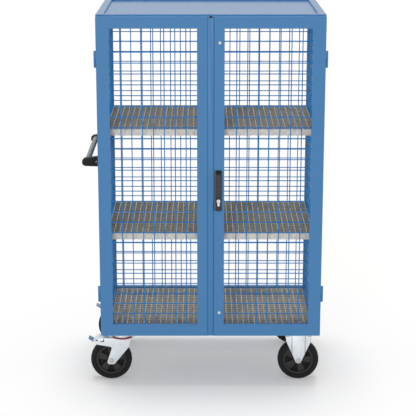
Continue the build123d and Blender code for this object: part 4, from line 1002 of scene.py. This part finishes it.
class TROLLEY_OT_forks(bpy.types.Operator):
    """Makes the swivel forks with their covers and the fixed forks with their pressed middles"""

    bl_idname = "trolley.forks"
    bl_label = "Forks"

    def execute(self, context):
        sizes = context.scene.trolley_sizes
        for row, depth in ROWS.items():
            self.make_swivel_fork(sizes, row, depth)
            self.make_fixed_fork(sizes, row, depth)
        return {"FINISHED"}

    def make_swivel_fork(self, sizes, row, depth):
        inner, sheet = sizes.fork_inner, sizes.fork_sheet
        outer, half_cover = inner + sheet, inner + sheet - 0.0002
        top, crown = 0.214, 0.005
        ridge = [(-0.078, 0.205), (-0.060, top), (0.096, top)]
        under = [(x, z - crown) for x, z in reversed(ridge)]
        cheek = [
            (-0.0172, 0.0960), (-0.0168, 0.0890), (-0.0140, 0.0835), (-0.0090, 0.0808), (0.0110, 0.0808),
            (0.0160, 0.0825), (0.0200, 0.0865), (0.0885, 0.171), *reversed(ridge), (-0.070, 0.182),
            (-0.004, 0.1705), (0.0015, 0.1680), (0.0036, 0.1620),
        ]
        pivot = [(0, 0), (0.0062, 0), (0.0062, 0.0012), (0.0045, 0.0022), (0, 0.0024)]
        # Black blocks on the stamped slot places, painted shade: from and to beside the axle, from and to in
        # height
        stamped = (
            (-0.0735, -0.0625, 0.2015, 0.2070), (-0.0505, -0.0325, 0.1960, 0.2000),
            (-0.0370, -0.0325, 0.2000, 0.2095),
        )
        saucer = [
            (0.0072, 0.2091), (0.0470, 0.2091), (0.0500, 0.2106), (0.0500, 0.2130), (0.0490, 0.2140),
            (0.0072, 0.2140),
        ]
        bm, slot_shades = bmesh.new(), bmesh.new()
        for sign in (-1, 1):
            axis, face = BACK * sign, depth + sign * outer
            add_upright_plate(bm, SWIVEL_X, cheek, depth + sign * inner, sign * sheet, 0.0011, 2, 50)
            self.add_boss(bm, spot(SWIVEL_X, face, AXLE_Z), axis, 0.0145)
            add_lathe(bm, pivot, spot(SWIVEL_X + BRAKE_X, depth + sign * half_cover, BRAKE_Z), axis, 24)
            near, far = sorted((face - sign * 0.001, face + sign * 0.0005))
            for left, right, foot, head in stamped:
                add_block(slot_shades, spot(SWIVEL_X + left, near, foot), spot(SWIVEL_X + right, far, head))
        # The black blocks stand in for the shade inside the stamped openings
        add_piece(slot_shades, f"{row}_brake_slot_shades", f"swivel_{row}", "black_moulding")
        add_upright_plate(bm, SWIVEL_X, ridge + under, depth - half_cover, 2 * half_cover, 0.0012, 2, 20)
        add_lathe(bm, saucer, spot(PIN_X, depth, 0), UP, 72, closed=True)
        add_piece(bm, f"{row}_swivel_fork", f"swivel_{row}", "bright_zinc",
                  [f"swivel_fork_{row}"])

    def add_boss(self, bm, centre, axis, radius):
        """The raised ring around an axle's hole, sunk into the cheek's outer face."""
        hole, height, sunk = 0.0063, 0.0008, 0.0004
        ring = [(hole, 0), (radius, 0), (radius, 0.0002), (radius - 0.0007, height), (hole, height)]
        add_lathe(bm, ring, centre - axis * sunk, axis, 36, closed=True)

    def make_fixed_fork(self, sizes, row, depth):
        inner, sheet, swage, middle_half = sizes.fork_inner, sizes.fork_sheet, 0.003, 0.032
        left, right, shoulder, top = FIXED_X - 0.061, FIXED_X + 0.061, 0.199, 0.236
        outline = [
            *arc(FIXED_X, AXLE_Z, 0.015, 190, 350, 12), (right, shoulder), (right, top), (left, top),
            (left, shoulder),
        ]
        bm = bmesh.new()
        add_top_plate(bm, FIXED_X, depth)
        for sign in (-1, 1):
            before = set(bm.verts)
            bm.faces.new([bm.verts.new(spot(x, depth, z)) for x, z in outline])
            for fold in (-0.0355, -0.0290, 0.0290, 0.0355):
                shell = [f for f in bm.faces if all(v not in before for v in f.verts)]
                geom = [*shell, *{e for f in shell for e in f.edges}, *{v for f in shell for v in f.verts}]
                bmesh.ops.bisect_plane(bm, geom=geom, plane_co=spot(FIXED_X + fold, depth, 0), plane_no=RIGHT)
            for v in [v for v in bm.verts if v not in before]:
                pressed = abs(v.co.x - CENTRE_X - FIXED_X) < middle_half
                v.co.y = DOOR_Y + depth + sign * (inner - (0 if pressed else swage))
            cheek = [f for f in bm.faces if all(v not in before for v in f.verts)]
            thicken(bm, cheek, (0, sign * sheet, 0))
            round_shell(bm, [v for v in bm.verts if v not in before], 0.0009, 2, 50)
            self.add_boss(bm, spot(FIXED_X, depth + sign * (inner + sheet), AXLE_Z), BACK * sign, 0.0135)
        self.paint_fold_shade(bm)
        # The second finish, the duller zinc, paints shade into the folds
        add_piece(bm, f"{row}_fixed_fork", "cabinet", "bright_zinc", [f"fixed_fork_{row}"],
                  second="bolt_zinc_and_fold_shade")

    def paint_fold_shade(self, bm):
        """Paints shade into the two pressed folds of the cheeks with the duller bolt zinc."""
        fold_start, fold_end, below_plate, slanted = 0.0285, 0.0360, 0.233, 0.25
        bm.normal_update()
        for face in bm.faces:
            middle = face.calc_center_median()
            in_fold = fold_start < abs(middle.x - CENTRE_X - FIXED_X) < fold_end
            if in_fold and middle.z < below_plate and abs(face.normal.x) > slanted:
                face.material_index = 1


class TROLLEY_OT_brakes(bpy.types.Operator):
    """Makes the brake pedals with their ribbed treads"""

    bl_idname = "trolley.brakes"
    bl_label = "Brakes"

    def execute(self, context):
        # Places beside the axle and heights
        arm = [
            (BRAKE_X, BRAKE_Z + 0.007), (BRAKE_X, BRAKE_Z), (-0.0725, 0.177), (-0.084, 0.1915),
            (-0.088, 0.1995), (-0.080, 0.197), (-0.073, 0.197),
        ]
        tread = [(-0.084, 0.1915), (-0.088, 0.1995), (-0.109, 0.2105), (-0.109, 0.2065)]
        start, end = Vector((SWIVEL_X - 0.090, 0, 0.2003)), Vector((SWIVEL_X - 0.1075, 0, 0.2094))
        arm_half, tread_half, rib_half, axle_half, ribs = 0.020, 0.025, 0.0225, 0.0338, 5
        for row, depth in ROWS.items():
            bm = bmesh.new()
            add_upright_plate(bm, SWIVEL_X, arm, depth - arm_half, 2 * arm_half, 0.0008, 2, 40)
            arm_faces = set(bm.faces)
            add_upright_plate(bm, SWIVEL_X, tread, depth - tread_half, 2 * tread_half, 0.0010, 2, 20)
            for n in range(ribs):
                rib = start.lerp(end, n / (ribs - 1))
                self.add_bar(bm, rib.x, rib.z, depth, rib_half, 0.0010, 8)
            for face in bm.faces:
                face.material_index = 0 if face in arm_faces else 1
            for reach, radius, steps in ((arm_half, 0.007, 28), (axle_half, 0.004, 20)):
                self.add_bar(bm, SWIVEL_X + BRAKE_X, BRAKE_Z, depth, reach, radius, steps)
            add_piece(bm, f"{row}_brake_pedal", f"brake_{row}", "bright_zinc",
                      [f"brake_pedal_{row}"], second="pedal_steel")
        return {"FINISHED"}

    def add_bar(self, bm, x, z, depth, reach, radius, steps):
        """A round bar across the caster, the same way out on both sides."""
        add_rod(bm, spot(x, depth - reach, z), spot(x, depth + reach, z), radius, steps)


# Stage


class TROLLEY_OT_stage(bpy.types.Operator):
    """Makes the floor, the lamps, the white surroundings and the camera"""

    bl_idname = "trolley.stage"
    bl_label = "Stage"

    def execute(self, context):
        self.make_floor(context.scene.trolley_colours.floor)
        self.make_surroundings(context.scene)
        self.make_lamps(context.scene)
        self.make_camera(context.scene)
        context.scene.view_settings.view_transform = "Standard"
        return {"FINISHED"}

    def make_floor(self, tint):
        material = bpy.data.materials.new("pale_floor")
        tree = empty_tree(material)
        white = (1, 1, 1, 1)
        matt = add_node(tree, "ShaderNodeBsdfPrincipled", Base_Color=(*tint, 1), Roughness=0.9,
                        Specular_IOR_Level=0.1, Emission_Color=white)
        glow = add_node(tree, "ShaderNodeMath", operation="MULTIPLY")
        glow.inputs[1].default_value = 0.24
        output = add_node(tree, "ShaderNodeOutputMaterial")
        seen = any_ray(tree, "Camera", "Glossy")
        join(tree, (*seen, glow, 0), (glow, 0, matt, "Emission Strength"), (matt, 0, output, "Surface"))
        bm = bmesh.new()
        bmesh.ops.create_grid(bm, x_segments=8, y_segments=8, size=60)
        mesh = bpy.data.meshes.new("floor")
        bm.to_mesh(mesh)
        bm.free()
        mesh.materials.append(material)
        floor = bpy.data.objects.new("floor", mesh)
        bpy.context.scene.collection.objects.link(floor)

    def make_surroundings(self, scene):
        scene.world = bpy.data.worlds.new("white_room")
        tree = empty_tree(scene.world)
        white = (1, 1, 1, 1)
        light = add_node(tree, "ShaderNodeBackground", Color=white, Strength=0.50)
        backdrop = add_node(tree, "ShaderNodeBackground", Color=white, Strength=1.0)
        mix = add_node(tree, "ShaderNodeMixShader")
        output = add_node(tree, "ShaderNodeOutputWorld")
        seen = any_ray(tree, "Camera", "Glossy", "Transmission")
        join(
            tree, (*seen, mix, "Fac"), (light, 0, mix, 1), (backdrop, 0, mix, 2), (mix, 0, output, "Surface")
        )

    def make_lamps(self, scene):
        # name, where it shines from, strength, spread in degrees
        lamps = (
            ("front_sun", Vector((-0.25, -1.0, 0.18)), 0.60, 24),
            ("top_sun", Vector((0.0, 0.10, 1.0)), 1.20, 22),
        )
        for name, source, strength, spread in lamps:
            data = bpy.data.lights.new(name, "SUN")
            data.energy = strength
            data.angle = radians(spread)
            lamp = bpy.data.objects.new(name, data)
            lamp.rotation_euler = source.to_track_quat("Z", "Y").to_euler()
            scene.collection.objects.link(lamp)

    def make_camera(self, scene):
        data = bpy.data.cameras.new("camera")
        data.sensor_width = 36
        data.lens = 120.63
        data.shift_x = 0.0115
        camera = bpy.data.objects.new("camera", data)
        camera.location = (0, -6.6517, 2.507)
        tilt = 14.413
        camera.rotation_euler = (radians(90 - tilt), 0, 0)
        scene.collection.objects.link(camera)
        scene.camera = camera


class TROLLEY_PT_panel(bpy.types.Panel):
    """Shows the trolley's colours and sizes, and a button for each operator"""

    bl_idname = "TROLLEY_PT_panel"
    bl_label = "Mesh cabinet trolley"
    bl_space_type = "VIEW_3D"
    bl_region_type = "UI"
    bl_category = "Trolley"

    def draw(self, context):
        for group in (context.scene.trolley_colours, context.scene.trolley_sizes):
            for name in group.bl_rna.properties.keys():
                if name not in ("rna_type", "name"):
                    self.layout.prop(group, name)
        for operator in OPERATORS:
            self.layout.operator(operator.bl_idname)


OPERATORS = (
    TROLLEY_OT_finishes,
    TROLLEY_OT_stage,
    TROLLEY_OT_cabinet_frame,
    TROLLEY_OT_wire_meshes,
    TROLLEY_OT_gratings,
    TROLLEY_OT_doors,
    TROLLEY_OT_hinges,
    TROLLEY_OT_lock,
    TROLLEY_OT_push_handle,
    TROLLEY_OT_wheels,
    TROLLEY_OT_caster_plates,
    TROLLEY_OT_forks,
    TROLLEY_OT_brakes,
)
CLASSES = (TrolleyColours, TrolleySizes, *OPERATORS, TROLLEY_PT_panel)


def register():
    for each in CLASSES:
        bpy.utils.register_class(each)
    bpy.types.Scene.trolley_colours = bpy.props.PointerProperty(type=TrolleyColours)
    bpy.types.Scene.trolley_sizes = bpy.props.PointerProperty(type=TrolleySizes)


def unregister():
    del bpy.types.Scene.trolley_sizes
    del bpy.types.Scene.trolley_colours
    for each in reversed(CLASSES):
        bpy.utils.unregister_class(each)


def main():
    register()
    for operator in OPERATORS:
        group, name = operator.bl_idname.split(".")
        getattr(getattr(bpy.ops, group), name)()


if __name__ == "__main__":
    main()
